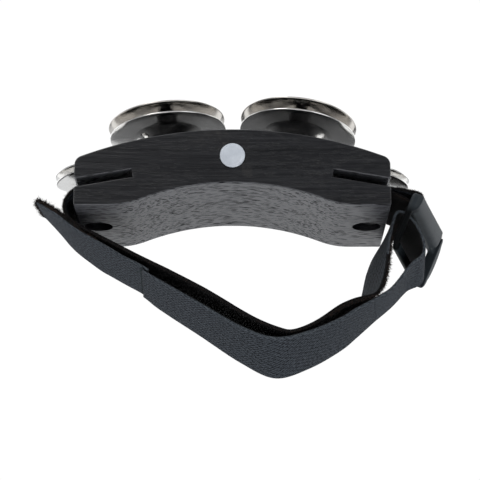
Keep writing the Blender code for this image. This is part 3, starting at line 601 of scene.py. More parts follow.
def axis_frame(x, z, tilt, side):
    """A frame at (x, 0, z) with its own Z leaning outward on that side."""
    axis = Vector((side * math.sin(tilt), 0.0, math.cos(tilt)))
    level = Vector((math.cos(tilt), 0.0, -side * math.sin(tilt)))
    turn = Matrix((level, axis.cross(level), axis)).transposed().to_4x4()
    return Matrix.Translation(point(x, 0.0, z)) @ turn


def top_z(x):
    """Height of the block's domed top."""
    return APEX - TOP_R + math.sqrt(TOP_R ** 2 - x * x)


def bolt_frame(side):
    return axis_frame(side * BOLT_X, 0.0, TILT, side)


def pin_frame(side):
    return axis_frame(side * PIN_X, top_z(PIN_X), PIN_TILT, side)


def hex_radius(apothem, theta):
    sector = math.radians(60.0)
    return apothem / math.cos((theta % sector) - sector / 2.0)


def turned(name, profile, material, matrix, segs=96, angle=38.0):
    """A solid of revolution from (radius, height) points. A third number
    makes the point hexagonal: the radius is its apothem and the number its
    largest radius. A profile that starts off the axis is a closed loop."""
    verts, rings = [], []
    for radius, height, *limit in profile:
        if radius <= 1e-6:
            rings.append([len(verts)])
            verts.append(Vector((0, 0, height * MM)))
            continue
        rings.append(range(len(verts), len(verts) + segs))
        for k in range(segs):
            theta = 2 * math.pi * k / segs
            reach = min(hex_radius(radius, theta), limit[0]) if limit else radius
            verts.append(Vector((reach * math.cos(theta), reach * math.sin(theta), height)) * MM)
    faces = bridge(rings, segs, closed=profile[0][0] > 1e-6)
    return new_object(name, verts, faces, [material], matrix, angle)


def tube(inner, outer, bottom, top, rounding):
    """The closed section of a tube with rounded corners."""
    corners = [(inner, bottom), (outer, bottom), (outer, top), (inner, top)]
    steps = 3
    section = []
    for i in range(4):
        corner = Vector(corners[i])
        back = Vector(corners[i - 1]) - corner
        ahead = Vector(corners[(i + 1) % 4]) - corner
        cut = min(rounding, back.length * 0.45, ahead.length * 0.45)
        start = corner + back.normalized() * cut
        end = corner + ahead.normalized() * cut
        for j in range(steps + 1):
            t = j / steps
            spot = start * (1 - t) ** 2 + corner * (2 * t * (1 - t)) + end * t * t
            section.append((spot.x, spot.y))
    return section


def catmull(points, steps):
    """A Catmull-Rom curve through the points."""
    knots = [Vector(p) for p in points]
    knots = [2 * knots[0] - knots[1]] + knots + [2 * knots[-1] - knots[-2]]
    curve = []
    for i in range(1, len(knots) - 2):
        a, b, c, d = knots[i - 1:i + 3]
        for s in range(steps):
            t = s / steps
            curve.append(0.5 * ((2 * b) + (c - a) * t + (2 * a - 5 * b + 4 * c - d) * t * t
                                + (3 * b - a - 3 * c + d) * t ** 3))
    curve.append(knots[-2])
    return curve


def arc(centre_x, centre_z, radius, start, end, steps):
    angles = [start + (end - start) * i / steps for i in range(steps + 1)]
    return [(centre_x + radius * math.cos(a), centre_z + radius * math.sin(a)) for a in angles]


# ============================================================ wooden block
def half_outline():
    """The right half of the block's front view, from the crown of the arch
    round the foot, the slot and the shoulder to the apex."""
    # arch and foot
    lift = ARCH_R - math.sqrt(ARCH_R ** 2 - CROWN_FLAT ** 2)
    arch_z = CROWN - ARCH_R + lift
    fillet_x = math.sqrt((ARCH_R + FOOT_FILLET_R) ** 2 - (FOOT_FILLET_R - arch_z) ** 2)
    meet = math.atan2(FOOT_FILLET_R - arch_z, fillet_x)
    start = math.atan2(CROWN - arch_z, CROWN_FLAT)
    outline = arc(0.0, arch_z, ARCH_R, start, meet, 36)
    outline += arc(fillet_x, FOOT_FILLET_R, FOOT_FILLET_R, meet - math.pi, -math.pi / 2, 20)[1:]
    outline += arc(BLOCK_HALF - FOOT_CORNER_R, FOOT_CORNER_R, FOOT_CORNER_R,
                   -math.pi / 2, 0.0, 4)
    # slot, with a small chamfer below and above its mouth
    half = SLOT_H / 2
    cos_tilt, sin_tilt, slope = math.cos(TILT), math.sin(TILT), math.tan(TILT)
    inner_x = BLOCK_HALF - SLOT_LENGTH_X
    inner_z = SLOT_MOUTH_Z + SLOT_LENGTH_X * slope
    low_drop, low_depth = 0.5, 0.6
    high_rise, high_depth = 0.9, 1.0
    outline += [
        (BLOCK_HALF, SLOT_MOUTH_Z - half / cos_tilt - low_drop),
        (BLOCK_HALF - low_depth, SLOT_MOUTH_Z - half / cos_tilt + low_depth * slope),
        (inner_x - half * sin_tilt, inner_z - half * cos_tilt),
        (inner_x + half * sin_tilt, inner_z + half * cos_tilt),
        (BLOCK_HALF - high_depth, SLOT_MOUTH_Z + half / cos_tilt + high_depth * slope),
        (BLOCK_HALF, SLOT_MOUTH_Z + half / cos_tilt + high_rise)]
    # shoulder and domed top
    shoulder_x = BLOCK_HALF - SHOULDER_R
    dome_z = APEX - TOP_R
    shoulder_z = dome_z + math.sqrt((TOP_R - SHOULDER_R) ** 2 - shoulder_x ** 2)
    meet = math.atan2(shoulder_z - dome_z, shoulder_x)
    outline += arc(shoulder_x, shoulder_z, SHOULDER_R, 0.0, meet, 14)
    outline += arc(0.0, dome_z, TOP_R, meet, math.pi / 2, 44)[1:]
    return outline


def inset(outline, distance):
    """The outline moved inward."""
    moved = []
    for i in range(len(outline)):
        a, b = Vector(outline[i - 1]), Vector(outline[i])
        c = Vector(outline[(i + 1) % len(outline)])
        before, after = (b - a).normalized(), (c - b).normalized()
        normal = Vector((-before.y, before.x))
        mitre = (normal + Vector((-after.y, after.x))).normalized()
        moved.append(b + mitre * (distance / max(0.5, mitre.dot(normal))))
    return moved


def block_blank():
    """The outline run from front to back with rounded edges."""
    right = half_outline()
    outline = right + [(-x, z) for x, z in reversed(right[1:-1])]
    front_y, back_y = -BLOCK_DEPTH / 2, BLOCK_DEPTH / 2
    steps = 4
    rows = []
    for i in range(steps, -1, -1):
        angle = math.radians(90.0 * i / steps)
        rows.append((front_y + FACE_EDGE_R * (1 - math.sin(angle)),
                     inset(outline, FACE_EDGE_R * (1 - math.cos(angle)))))
    rows += [(back_y - (y - front_y), ring) for y, ring in reversed(rows)]
    verts, faces = loft([[point(p[0], y, p[1]) for p in ring] for y, ring in rows],
                        first_reversed=True)
    return new_object("block_visual", verts, faces, [WOOD], None, 30.0)


def bay_cutter(side):
    """The round-backed bay, open at the block's end, with its floor square
    to the bolt."""
    past_end, above_top = BLOCK_HALF + 5.0, 45.0
    angles = [math.radians(90 + 180 * i / 48) for i in range(49)]
    plan = [(BAY_CENTRE_X + BAY_R * math.cos(a), BAY_R * math.sin(a)) for a in angles]
    plan += [(past_end, -BAY_R), (past_end, BAY_R)]

    def floor_z(x):
        return (BAY_FLOOR_LEVEL - (x - BOLT_X) * math.sin(TILT)) / math.cos(TILT)

    verts, faces = loft([[point(side * x, y, floor_z(x)) for x, y in plan],
                         [point(side * x, y, above_top) for x, y in plan]])
    return new_object("cutter", verts, faces, [WOOD])


# (radius, level) of the bolt's hole with its counterbore, and of the pin's hole
BOLT_HOLE = [(0, -4), (COUNTERBORE_R, -4), (COUNTERBORE_R, COUNTERBORE_LEVEL),
             (BOLT_HOLE_R, COUNTERBORE_LEVEL), (BOLT_HOLE_R, 20), (0, 20)]
PIN_HOLE = [(0, -17.5), (2.3, -15.0), (2.3, -0.5), (5.8, -0.5), (5.8, 4.0), (0, 4.0)]
BADGE_HOLE = [(0, 3), (BADGE_R + BADGE_GAP, 3), (BADGE_R + BADGE_GAP, -BADGE_RECESS),
              (0, -BADGE_RECESS)]
# (radius, height out of the front face) of the badge, with its raised rim
BADGE_PROFILE = [(0, -0.9), (5.8, -0.9), (BADGE_R, -0.7), (BADGE_R, 0.2), (5.85, 0.48),
                 (5.6, 0.6), (5.15, 0.6), (4.95, 0.52), (4.75, 0.38), (4.5, 0.32), (0, 0.32)]
BADGE_FRAME = (Matrix.Translation(point(0, -BLOCK_DEPTH / 2, BADGE_Z))
               @ Matrix.Rotation(math.radians(90), 4, 'X'))


def build_block():
    block = block_blank()
    cutters = []
    for side in (-1, 1):
        cutters.append(bay_cutter(side))
        cutters.append(turned("cutter", BOLT_HOLE, WOOD, bolt_frame(side), 64))
        cutters.append(turned("cutter", PIN_HOLE, WOOD, pin_frame(side), 64))
    cutters.append(turned("cutter", BADGE_HOLE, WOOD, BADGE_FRAME))
    for cutter in cutters:
        boolean(block, cutter)
    bake(block, cutters, 30.0)
    modify(block, "soft", 'BEVEL', width=0.00035, segments=2, limit_method='ANGLE',
           angle_limit=math.radians(48))
    bake(block, angle=30.0)
    # keeps the flat faces flat in shading
    modify(block, "flat_faces", 'WEIGHTED_NORMAL', keep_sharp=True, weight=80)
    bake(block)
    place(block, "root", "wood", "wood_block")


def build_badge():
    badge = turned("badge_visual", BADGE_PROFILE, BADGE, BADGE_FRAME)
    place(badge, "root", "badge_plastic", "badge")


# ================================================================= jingles
def dome_section(rim_r, dome, direction):
    """The closed (radius, height) section of a jingle: flat flange, domed
    middle with a hole and a rounded rim. Direction 1 domes upward."""
    half = SHEET / 2
    line = [(rim_r - half, 0.0)] + [(rim_r * share, 0.0) for share in (0.86, 0.72, 0.58)]
    line += [(p.x, p.y) for p in catmull([(rim_r * 0.5, 0.0)] + dome, 5)]
    upper, lower = [], []
    for i, spot in enumerate(line):
        before, after = Vector(line[max(0, i - 1)]), Vector(line[min(len(line) - 1, i + 1)])
        run = (after - before).normalized()
        normal = Vector((run.y, -run.x))
        if normal.y < 0:
            normal = -normal
        upper.append(Vector(spot) + normal * half)
        lower.append(Vector(spot) - normal * half)
    # softened edge of the hole
    hole_r, hole_z = dome[-1]
    upper[-1] = Vector((hole_r + SHEET * 0.25, hole_z + half))
    lower[-1] = Vector((hole_r + SHEET * 0.25, hole_z - half))
    lip = [(hole_r + 0.02, hole_z + SHEET * 0.3), (hole_r + 0.02, hole_z - SHEET * 0.3)]
    rim = arc(rim_r - half, 0.0, half, math.radians(-60), math.radians(60), 4)
    section = [tuple(v) for v in upper] + lip + [tuple(v) for v in reversed(lower)] + rim
    return [(radius, direction * height) for radius, height in section]


def fitting(name, profile, material, frame, slot, segs=48):
    """A turned part that replaces the piece of the same name."""
    place(turned(name + "_visual", profile, material, frame, segs), "root", slot, name)


def jingle(name, section, material, frame, segs):
    node = "jingle_" + name
    place(turned(node + "_visual", section, material, frame, segs, 50.0), node,
          "jingle_steel", node)


def top_group(name, side, roll, lift):
    """The pair of jingles on its pin. Roll and lift, in degrees, tip each
    jingle about its hole."""
    frame = pin_frame(side)
    rise = TOP_DOME[-1][1]
    tip = (Matrix.Rotation(math.radians(side * roll), 4, 'Y')
           @ Matrix.Rotation(math.radians(-lift), 4, 'X'))
    # the upper jingle of each pair takes the darker, warmer copy of the nickel: painted shade and
    # reflection
    parts = zip(("lower", "upper"), TOP_LEVELS, (-1, 1), (NICKEL, NICKEL_SHADED_WARM))
    for label, level, direction, material in parts:
        hole = direction * rise
        section = [(radius, height - hole)
                   for radius, height in dome_section(TOP_RIM_R, TOP_DOME, direction)]
        seat = frame @ Matrix.Translation(Vector((0, 0, (level + hole) * MM))) @ tip
        jingle(f"{name}_{label}", section, material, seat, 144)
    low = TOP_LEVELS[0] - (rise + SHEET / 2)
    high = TOP_LEVELS[1] + (rise + SHEET / 2)
    fitting(name + "_spacer", tube(2.3, 5.0, -0.2, low - 0.9, rounding=0.35),
            NYLON, frame, "spacer_nylon")
    fitting(name + "_sleeve", tube(2.3, 4.2, low + 3.0, high - 1.6, rounding=0.3),
            NYLON, frame, "spacer_nylon")
    fitting(name + "_washer", tube(2.3, 4.6, high + 2.2, high + 2.9, rounding=0.2),
            ZINC, frame, "fastener_steel")
    # point, shank, round head and the recess in it
    head = high + 3.2
    screw = [(0, -15.8), (0.5, -15.4), (1.9, -13.2), (1.9, head - 0.05), (2.05, head),
             (4.0, head), (4.18, head + 0.2), (4.1, head + 0.7), (3.7, head + 1.15),
             (3.0, head + 1.5), (2.2, head + 1.72), (1.5, head + 1.8), (1.3, head + 1.7),
             (1.2, head + 0.62), (0, head + 0.6)]
    fitting(name + "_screw", screw, ZINC, frame, "fastener_steel")


def end_group(name, side, levels):
    """The pair of jingles on the bolt through an end bay."""
    frame = bolt_frame(side)
    for label, level, direction in zip(("lower", "upper"), levels, (-1, 1)):
        seat = frame @ Matrix.Translation(Vector((0, 0, level * MM)))
        jingle(f"{name}_{label}", dome_section(END_RIM_R, END_DOME, direction), NICKEL, seat, 112)
    rise = END_DOME[-1][1] + SHEET / 2
    low = levels[0] - rise
    high = levels[1] + rise
    spacer = tube(2.8, 4.6, BAY_FLOOR_LEVEL + 0.3, low - 0.4, rounding=0.25)
    fitting(name + "_spacer", spacer, NYLON, frame, "spacer_nylon")
    fitting(name + "_sleeve", tube(2.8, 4.0, low + 2.1, high - 1.2, rounding=0.25),
            NYLON, frame, "spacer_nylon")
    base, top = high + 1.6, high + 4.3
    nut = [(2.8, base + 0.2), (3.0, base), (4.05, base), (4.0, base + 0.35, 4.5),
           (4.0, top - 0.35, 4.5), (4.05, top), (3.0, top), (2.8, top - 0.2)]
    fitting(name + "_nut", nut, ZINC, frame, "fastener_steel", 72)
    fitting(name + "_washer", tube(2.8, 6.0, 4.7, 5.7, rounding=0.25),
            ZINC, frame, "fastener_steel")
    # hexagonal socket, head, shank and rounded tip
    bolt = [(0, 3.7), (1.7, 3.7, 1.9), (1.7, 2.58, 1.9), (2.1, 2.5), (4.0, 2.5), (4.4, 2.65),
            (4.7, 2.95), (4.8, 3.3), (4.8, 4.3), (4.7, 4.4), (2.6, 4.4), (2.5, 4.5),
            (2.5, high + 4.6), (2.3, high + 4.85), (0, high + 4.98)]
    fitting(name + "_bolt", bolt, OXIDE, frame, "black_steel", 72)


# ================================================================== straps
# the last slot paints a strap's edges paler: a painted highlight
WOVEN, PILED, EDGE, PAINTED_LIT_EDGE = range(4)   # material slots of a strap


def wander(x, y, z, scale):
    return noise.noise(Vector((x * scale, y * scale, z * scale)))


class Strip:
    """A strap swept between a near and a far edge line. Side 1 is the woven
    face and side -1 the pile. Across is measured from the middle, towards
    the back."""

    def __init__(self, near, far, thickness, steps, seed, ripple=0.16):
        self.thickness = thickness
        self.seed = seed
        self.ripple = ripple
        self.near = catmull(near, steps)
        self.far = catmull(far, steps)
        self.count = len(self.near)
        self.middle = [(a + b) / 2 for a, b in zip(self.near, self.far)]
        self.length = [0.0]
        for a, b in zip(self.middle, self.middle[1:]):
            self.length.append(self.length[-1] + (b - a).length)
        self.gather = [0.0] * self.count

    def length_at(self, x, z):
        """Length along the strip at the row nearest to a point."""
        spot = Vector((x, z))
        row = min(range(self.count), key=lambda i: (self.middle[i] - spot).length)
        return self.length[row]

    def normal(self, line, i):
        run = (line[min(self.count - 1, i + 1)] - line[max(0, i - 1)]).normalized()
        return Vector((-run.y, run.x))

    def point(self, i, across, off):
        """A point of row i, offset towards the woven face."""
        if across > 0:
            across = across * (1.0 - self.gather[i])
        share = (across + STRAP_HALF) / (2 * STRAP_HALF)
        spot = self.near[i] * (1 - share) + self.far[i] * share
        near, far = self.normal(self.near, i), self.normal(self.far, i)
        spot = spot + (near * (1 - share) + far * share).normalized() * off
        return point(spot.x, across, spot.y)

    def section(self):
        """The (across, offset, slot) points round a cross section."""
        half = self.thickness / 2
        flat = STRAP_HALF - half
        front = [(-flat + 2 * flat * k / CROSS, half, WOVEN) for k in range(CROSS + 1)]
        for angle in (60, 30, 0, -30, -60):
            turn = math.radians(angle)
            front.append((flat + half * math.cos(turn), half * math.sin(turn), EDGE))
        return front + [(-across, -off, EDGE if slot == EDGE else PILED)
                        for across, off, slot in front]

    def surface(self, section, pile, press):
        """Vertices of every row, with wavy edges and a brushed pile side."""
        verts = []
        for i in range(self.count):
            along = self.length[i]
            near_shift = self.ripple * wander(along, self.seed, 0.0, 0.16)
            far_shift = self.ripple * wander(along, self.seed, 9.0, 0.16)
            for across, off, slot in section:
                share = abs(across) / STRAP_HALF
                shift = (near_shift if across < 0 else far_shift) * share ** 6
                if slot == PILED:
                    tuft = (wander(along, across, self.seed + 3.0, 1.9) * 0.6
                            + wander(along, across, self.seed + 5.0, 4.1) * 0.5)
                    off = off - pile * (tuft * 0.9 + 0.2)
                if slot == WOVEN:
                    off = off + 0.025 * wander(along, across, self.seed + 8.0, 0.5)
                # a slight roll along both edges
                off = off - 0.10 * share ** 8
                if press is not None:
                    off = press(i, off)
                verts.append(self.point(i, across + shift, off))
        return verts

    def build(self, name, materials, pile, press=None, painted_lit_edge_from=math.inf):
        """Pile is the depth of the brushing. Press may change a row's offsets. Edges further along
        than the given length take the light slot, the paler selvedge, as a painted highlight along
        the edge."""
        section = self.section()
        size = len(section)
        verts = self.surface(section, pile, press)
        faces, index, uvs = [], [], []
        for row in range(self.count - 1):
            start, end = self.length[row], self.length[row + 1]
            for k in range(size):
                q = (k + 1) % size
                faces.append((row * size + k, row * size + q,
                              (row + 1) * size + q, (row + 1) * size + k))
                slot = max(section[k][2], section[q][2])
                low, high = section[k][0], section[q][0]
                if slot == EDGE:
                    low, high = k * 0.4, (k + 1) * 0.4
                    # painted highlight: past the given length the edge takes the paler slot
                    if start > painted_lit_edge_from:
                        slot = PAINTED_LIT_EDGE
                index.append(slot)
                uvs.append([(start, low), (start, high), (end, high), (end, low)])
        # each end is a row of quads between the faces, with a fan at both edges
        for base, step in ((0, 1), ((self.count - 1) * size, -1)):
            upper = [base + k for k in range(CROSS + 1)]
            lower = [base + CROSS + 6 + (CROSS - k) for k in range(CROSS + 1)]
            for k in range(CROSS):
                faces.append((upper[k], lower[k], lower[k + 1], upper[k + 1])[::step])
                low, high = k * 0.7, k * 0.7 + 0.7
                uvs.append([(0, low), (1.4, low), (1.4, high), (0, high)])
            far_fan = [upper[-1]] + [base + CROSS + 1 + j for j in range(5)] + [lower[-1]]
            near_fan = [lower[0]] + [base + 2 * CROSS + 7 + j for j in range(5)] + [upper[0]]
            for fan in (far_fan, near_fan):
                faces.append(tuple(fan)[::-step])
                uvs.append([(0.0, 0.1 * j) for j in range(len(fan))])
            index += [EDGE] * (CROSS + 2)
        return new_object(name, verts, faces, materials, None, None, True, index, uvs)

    def root(self, along, across, side):
        """A point on a face, its outward direction and the strip's direction."""
        i = 0
        while i < self.count - 2 and self.length[i + 1] < along:
            i += 1
        span = max(1e-6, self.length[i + 1] - self.length[i])
        share = min(1.0, max(0.0, (along - self.length[i]) / span))
        off = side * self.thickness / 2
        here, ahead = self.point(i, across, off), self.point(i + 1, across, off)
        spot = here * (1 - share) + ahead * share
        raised = off + side * 0.5
        above = (self.point(i, across, raised) * (1 - share)
                 + self.point(i + 1, across, raised) * share)
        return spot, (above - spot).normalized(), (ahead - here).normalized()


def cut_bolt_eye(strap, side):
    """The hole where an end bolt passes through the strap in its slot."""
    eye = turned("cutter", [(0, 8.5), (3.0, 8.5), (3.0, 16.5), (0, 16.5)], PILE,
                 bolt_frame(side), 48)
    boolean(strap, eye)
    bake(strap, [eye])


# ------------------------------------------------------------------ fibres
def fibres(name, hairs):
    """Closed three-sided bent fibres from (root, direction, length, half
    width, bend, shade), in metres. Shade 0 is dark and 1 brown."""
    verts, faces, index = [], [], []
    for root, direction, length, width, bend, shade in hairs:
        direction = direction.normalized()
        side = direction.orthogonal().normalized()
        third = direction.cross(side)
        foot = root - direction * 0.0003
        knee = root + direction * (length * 0.55) + bend * 0.35
        base = len(verts)
        for spot, reach in ((foot, width), (knee, width * 0.8)):
            for angle in (0, 120, 240):
                turn = math.radians(angle)
                verts.append(spot + side * (reach * math.cos(turn))
                             + third * (reach * math.sin(turn)))
        verts.append(root + direction * length + bend)
        faces.append((base, base + 2, base + 1))
        for k in range(3):
            q = (k + 1) % 3
            faces.append((base + k, base + q, base + 3 + q, base + 3 + k))
            faces.append((base + 3 + k, base + 3 + q, base + 6))
        index += [shade] * 7
    return new_object(name, verts, faces, [FIBRE_DARK, FIBRE_BROWN], None, None, False, index)


def random_vector(size):
    return Vector((rng.uniform(-1, 1), rng.uniform(-1, 1), rng.uniform(-1, 1))) * size


def fringe(strip, start, end, count, where, length, width, shades, spread=0.0, inset_max=0.0):
    """Random hairs on the pile side between two lengths along the strip, at
    its near or far edge or over its whole face. Spread leans edge hairs
    outward and inset_max is how far in from the edge they root."""
    hairs = []
    outward = Vector((0, {'near': -1, 'far': 1, 'face': 0}[where], 0))
    for _ in range(count):
        along = rng.uniform(start, end)
        if where == 'near':
            across = -STRAP_HALF + rng.uniform(0, inset_max)
        elif where == 'far':
            across = STRAP_HALF - rng.uniform(0, inset_max)
        else:
            across = rng.uniform(-STRAP_HALF, STRAP_HALF)
        root, out, run = strip.root(along, across, -1)
        direction = (out * rng.uniform(0.3, 1.0) + outward * rng.uniform(0.0, 0.9) * spread
                     + run * rng.uniform(-0.7, 0.7) + random_vector(0.25))
        reach = length * rng.uniform(0.45, 1.25) * MM
        hairs.append((root, direction, reach, width * MM, random_vector(reach * 0.4),
                      rng.choice(shades)))
    return hairs


def fringes(strip, rows):
    return [hair for row in rows for hair in fringe(strip, *row)]


# fibre shades to draw from
DARK = (0,)
HALF_BROWN = (0, 1)
THIRD_BROWN = (0, 0, 1)
MIXED_BROWN = (0, 1, 0)
QUARTER_BROWN = (0, 0, 0, 1)

lap = Strip(LAP_NEAR, LAP_FAR, STRAP_T, 8, seed=11.0)
tail = Strip(TAIL_NEAR, TAIL_FAR, STRAP_T, 10, seed=23.0)
tab = Strip(TAB_NEAR, TAB_FAR, TAB_T, 10, seed=31.0, ripple=0.3)

# where each strap goes over from the root to the other body
LAP_BLEND = (point(66, 0, -42), point(78, 0, -25))
TAIL_BLEND = (point(67, 0, -42.6), point(57, 0, -50))


def build_lap():
    """One continuous strap: left slot, under the foot, over the ring's rail
    and back."""
    # the back half gathers where it turns round the ring's lower rail
    rail, reach, most = Vector((94.5, -21.5)), 24.0, 0.32
    turn = min(range(lap.count), key=lambda i: (lap.far[i] - rail).length)
    for i in range(lap.count):
        away = min(1.0, abs(lap.length[i] - lap.length[turn]) / reach)
        lap.gather[i] = most * max(0.0, math.cos(away * math.pi) * 0.5 + 0.5)
    apex = next(i for i, spot in enumerate(lap.near) if spot.x > 77 and spot.y > -2)
    # from 22 mm before the apex on, the lap's edges are painted paler: a painted highlight where it
    # turns round the ring
    strap = lap.build("strap_visual", [WEAVE, PILE, DARK_EDGE, SELVEDGE], 0.13,
                      painted_lit_edge_from=lap.length[apex] - 22.0)
    cut_bolt_eye(strap, -1)
    place_blended(strap, "buckle", *LAP_BLEND, "strap_main", "strap_loop", "strap_return")


def press_sewn_end(i, off):
    """The tail's last millimetres are pressed flat where they meet the tab."""
    share = min(1.0, max(0.0, (tail.length[-1] - tail.length[i]) / 9.0))
    share = share * share * (3 - 2 * share)
    return (off + tail.thickness / 2) * (0.45 + 0.55 * share) - tail.thickness / 2


def build_tail():
    obj = tail.build("tail_visual", [WEAVE, PILE, SELVEDGE], 0.13, press=press_sewn_end)
    place_blended(obj, "tail", *TAIL_BLEND, "strap_tail")


def build_tab():
    place(tab.build("hook_tab_visual", [WEAVE, HOOK, SELVEDGE], 0.2), "tail",
          "hook_tape", "hook_tab")


# Rows of fringe tables: from, to, count, where, length, half width, shades,
# and at the edges spread and inset.
def build_lap_fibres():
    bend = lap.length_at(-75, 11)
    cross = lap.length_at(66, -38)
    peak = lap.length_at(79, 0.7)
    hairs = fringes(lap, [
        (bend, cross, 3600, 'near', 0.55, 0.06, QUARTER_BROWN, 0.5, 1.0),
        (bend, cross, 1800, 'far', 0.6, 0.06, DARK, 0.5, 1.0),
        (bend, bend + 24, 1500, 'face', 1.1, 0.09, THIRD_BROWN),
        # frayed fringe up the inner lap at the right
        (cross - 26, peak - 6, 1900, 'near', 1.7, 0.11, MIXED_BROWN, 1.1, 0.8),
        (cross - 20, peak - 6, 1700, 'far', 1.3, 0.075, HALF_BROWN, 0.8, 1.2),
        (cross - 12, peak - 4, 1500, 'face', 1.0, 0.07, MIXED_BROWN),
        (peak, lap.length[-1], 500, 'near', 0.4, 0.04, THIRD_BROWN, 0.6, 0.8)])
    place_blended(fibres("strap_fibres", hairs), "buckle", *LAP_BLEND)


def build_tail_fibres():
    end = tail.length[-1] - 2
    hairs = fringes(tail, [
        (3, end, 1500, 'near', 0.36, 0.035, DARK, 0.4, 0.8),
        (3, end, 900, 'far', 0.4, 0.035, DARK, 0.4, 0.8)])
    place_blended(fibres("tail_fibres", hairs), "tail", *TAIL_BLEND)


def build_tab_fibres():
    end = tab.length[-1]
    hairs = fringes(tab, [
        (end * 0.45, end, 1300, 'near', 0.8, 0.07, THIRD_BROWN, 0.4, 0.8),
        (end * 0.62, end, 1500, 'near', 2.3, 0.15, QUARTER_BROWN, 0.45, 2.5),
        (end * 0.3, end, 1300, 'far', 1.0, 0.07, THIRD_BROWN, 0.5, 1.2),
        (end * 0.68, end, 2400, 'face', 2.2, 0.14, QUARTER_BROWN)])
    # frayed free end
    for _ in range(1500):
        across = rng.uniform(-STRAP_HALF, STRAP_HALF)
        root, out, run = tab.root(end - rng.uniform(0.0, 0.5), across,
                                  rng.choice([-1, 1]) * rng.random())
        direction = (run * rng.uniform(0.5, 1) + out * rng.uniform(-0.6, 0.9)
                     + random_vector(0.35))
        hairs.append((root, direction, rng.uniform(0.5, 2.2) * MM, 0.085 * MM,
                      random_vector(0.0009), rng.choice(QUARTER_BROWN)))
    place(fibres("hook_tab_fibres", hairs), "tail", "hook_tape")


# -------------------------------------------------------------------- seam
def capsule(start, end, radius, segs=8):
    """Vertices and faces of a closed rounded thread between two points."""
    run = end - start
    length = run.length
    run.normalize()
    side = run.orthogonal().normalized()
    third = run.cross(side)
    verts, rings = [], []
    # share of the length, share of the radius
    for along, reach in [(0.0, 0.0), (0.06, 0.7), (0.2, 1.0), (0.8, 1.0), (0.94, 0.7), (1.0, 0.0)]:
        centre = start + run * (length * along)
        if reach == 0.0:
            rings.append([len(verts)])
            verts.append(centre)
            continue
        rings.append(range(len(verts), len(verts) + segs))
        for j in range(segs):
            turn = 2 * math.pi * j / segs
            verts.append(centre + (side * math.cos(turn) + third * math.sin(turn))
                         * (radius * reach))
    return verts, bridge(rings, segs)


def build_stitches():
    """Two rows of stitches across the tab near its sewn end, on the woven
    face, and a loose thread end at the front."""
    threads = []
    stitch, pitch, lift = 1.35, 1.85, 0.00006
    for row in (1.2, 3.9):
        across = -23.6
        while across < 23.0:
            start, out, _ = tab.root(row, across, 1)
            end, _, _ = tab.root(row, across + stitch, 1)
            threads.append(capsule(start + out * lift, end + out * lift, 0.00019))
            across += pitch
    root, _, _ = tab.root(3.2, -24.9, 1)
    last = root
    for k in range(1, 8):
        t = k / 7.0
        spot = root + Vector((-0.0016 * t + 0.0009 * math.sin(6 * t), -0.0006 * t,
                              -0.0030 * t + 0.0005 * math.sin(9 * t)))
        threads.append(capsule(last, spot, 0.00013))
        last = spot
    verts, faces = [], []
    for thread_verts, thread_faces in threads:
        base = len(verts)
        verts += thread_verts
        faces += [tuple(i + base for i in face) for face in thread_faces]
    obj = new_object("seam_stitches", verts, faces, [THREAD], None, None, False)
    place(obj, "tail", "hook_tape")


# ------------------------------------------------- short loop at the right
def loop_line(y):
    """Middle line of the short loop's webbing at depth y: out of the slot,
    under and round the bar, and back in above it."""
    along = (y - RING_BAR.y) / RING_ALONG.y
    bar = Vector((RING_BAR.x + RING_ALONG.x * along, RING_BAR.z + RING_ALONG.z * along))
    radius = BAR_R + 0.3 + LOOP_T / 2
    half = SLOT_H / 2 - 0.4 - LOOP_T / 2
    mouth_x, inner_x = 76.0, 49.8

    def in_slot(x, side):
        z = SLOT_MOUTH_Z + (BLOCK_HALF - x) * math.tan(TILT)
        return Vector((x + side * half * math.sin(TILT), z + side * half * math.cos(TILT)))

    def tangent(spot, side):
        away = spot - bar
        return math.atan2(away.y, away.x) - side * math.acos(radius / away.length)

    def between(start, end, shares):
        return [start * (1 - t) + end * t for t in shares]

    top, low = in_slot(mouth_x, 1), in_slot(mouth_x, -1)
    top_turn, low_turn = tangent(top, 1), tangent(low, -1)
    if low_turn > top_turn:
        low_turn -= 2 * math.pi
    steps = 16
    turns = [low_turn + (top_turn - low_turn) * i / steps for i in range(steps + 1)]
    wrap = [bar + Vector((math.cos(a), math.sin(a))) * radius for a in turns]
    line = between(in_slot(inner_x, -1), low, (0.0, 0.35, 0.7, 0.92)) + [low]
    line += between(low, wrap[0], (0.15, 0.5, 0.85))
    line += wrap
    line += between(wrap[-1], top, (0.15, 0.5, 0.85)) + [top]
    line += between(top, in_slot(inner_x, 1), (0.08, 0.3, 0.65, 1.0))
    return [(p.x, p.y) for p in line]


def build_short_loop():
    short = Strip(loop_line(-STRAP_HALF), loop_line(STRAP_HALF), LOOP_T * 0.92, 5, seed=41.0)
    obj = short.build("short_loop_visual", [WEAVE, LOOP_PILE, DARK_EDGE], 0.05)
    cut_bolt_eye(obj, 1)
    place(obj, "root", "webbing", "short_loop")
    middle = short.length[-1] / 2
    hairs = fringes(short, [
        (middle - 20, middle + 20, 1000, 'near', 0.7, 0.07, MIXED_BROWN, 0.7, 0.8),
        (middle - 20, middle + 20, 1000, 'far', 0.7, 0.07, MIXED_BROWN, 0.7, 0.8),
        (middle - 6, middle + 17, 2200, 'face', 0.7, 0.065, MIXED_BROWN)])
    place(fibres("short_loop_fibres", hairs), "root", "webbing")


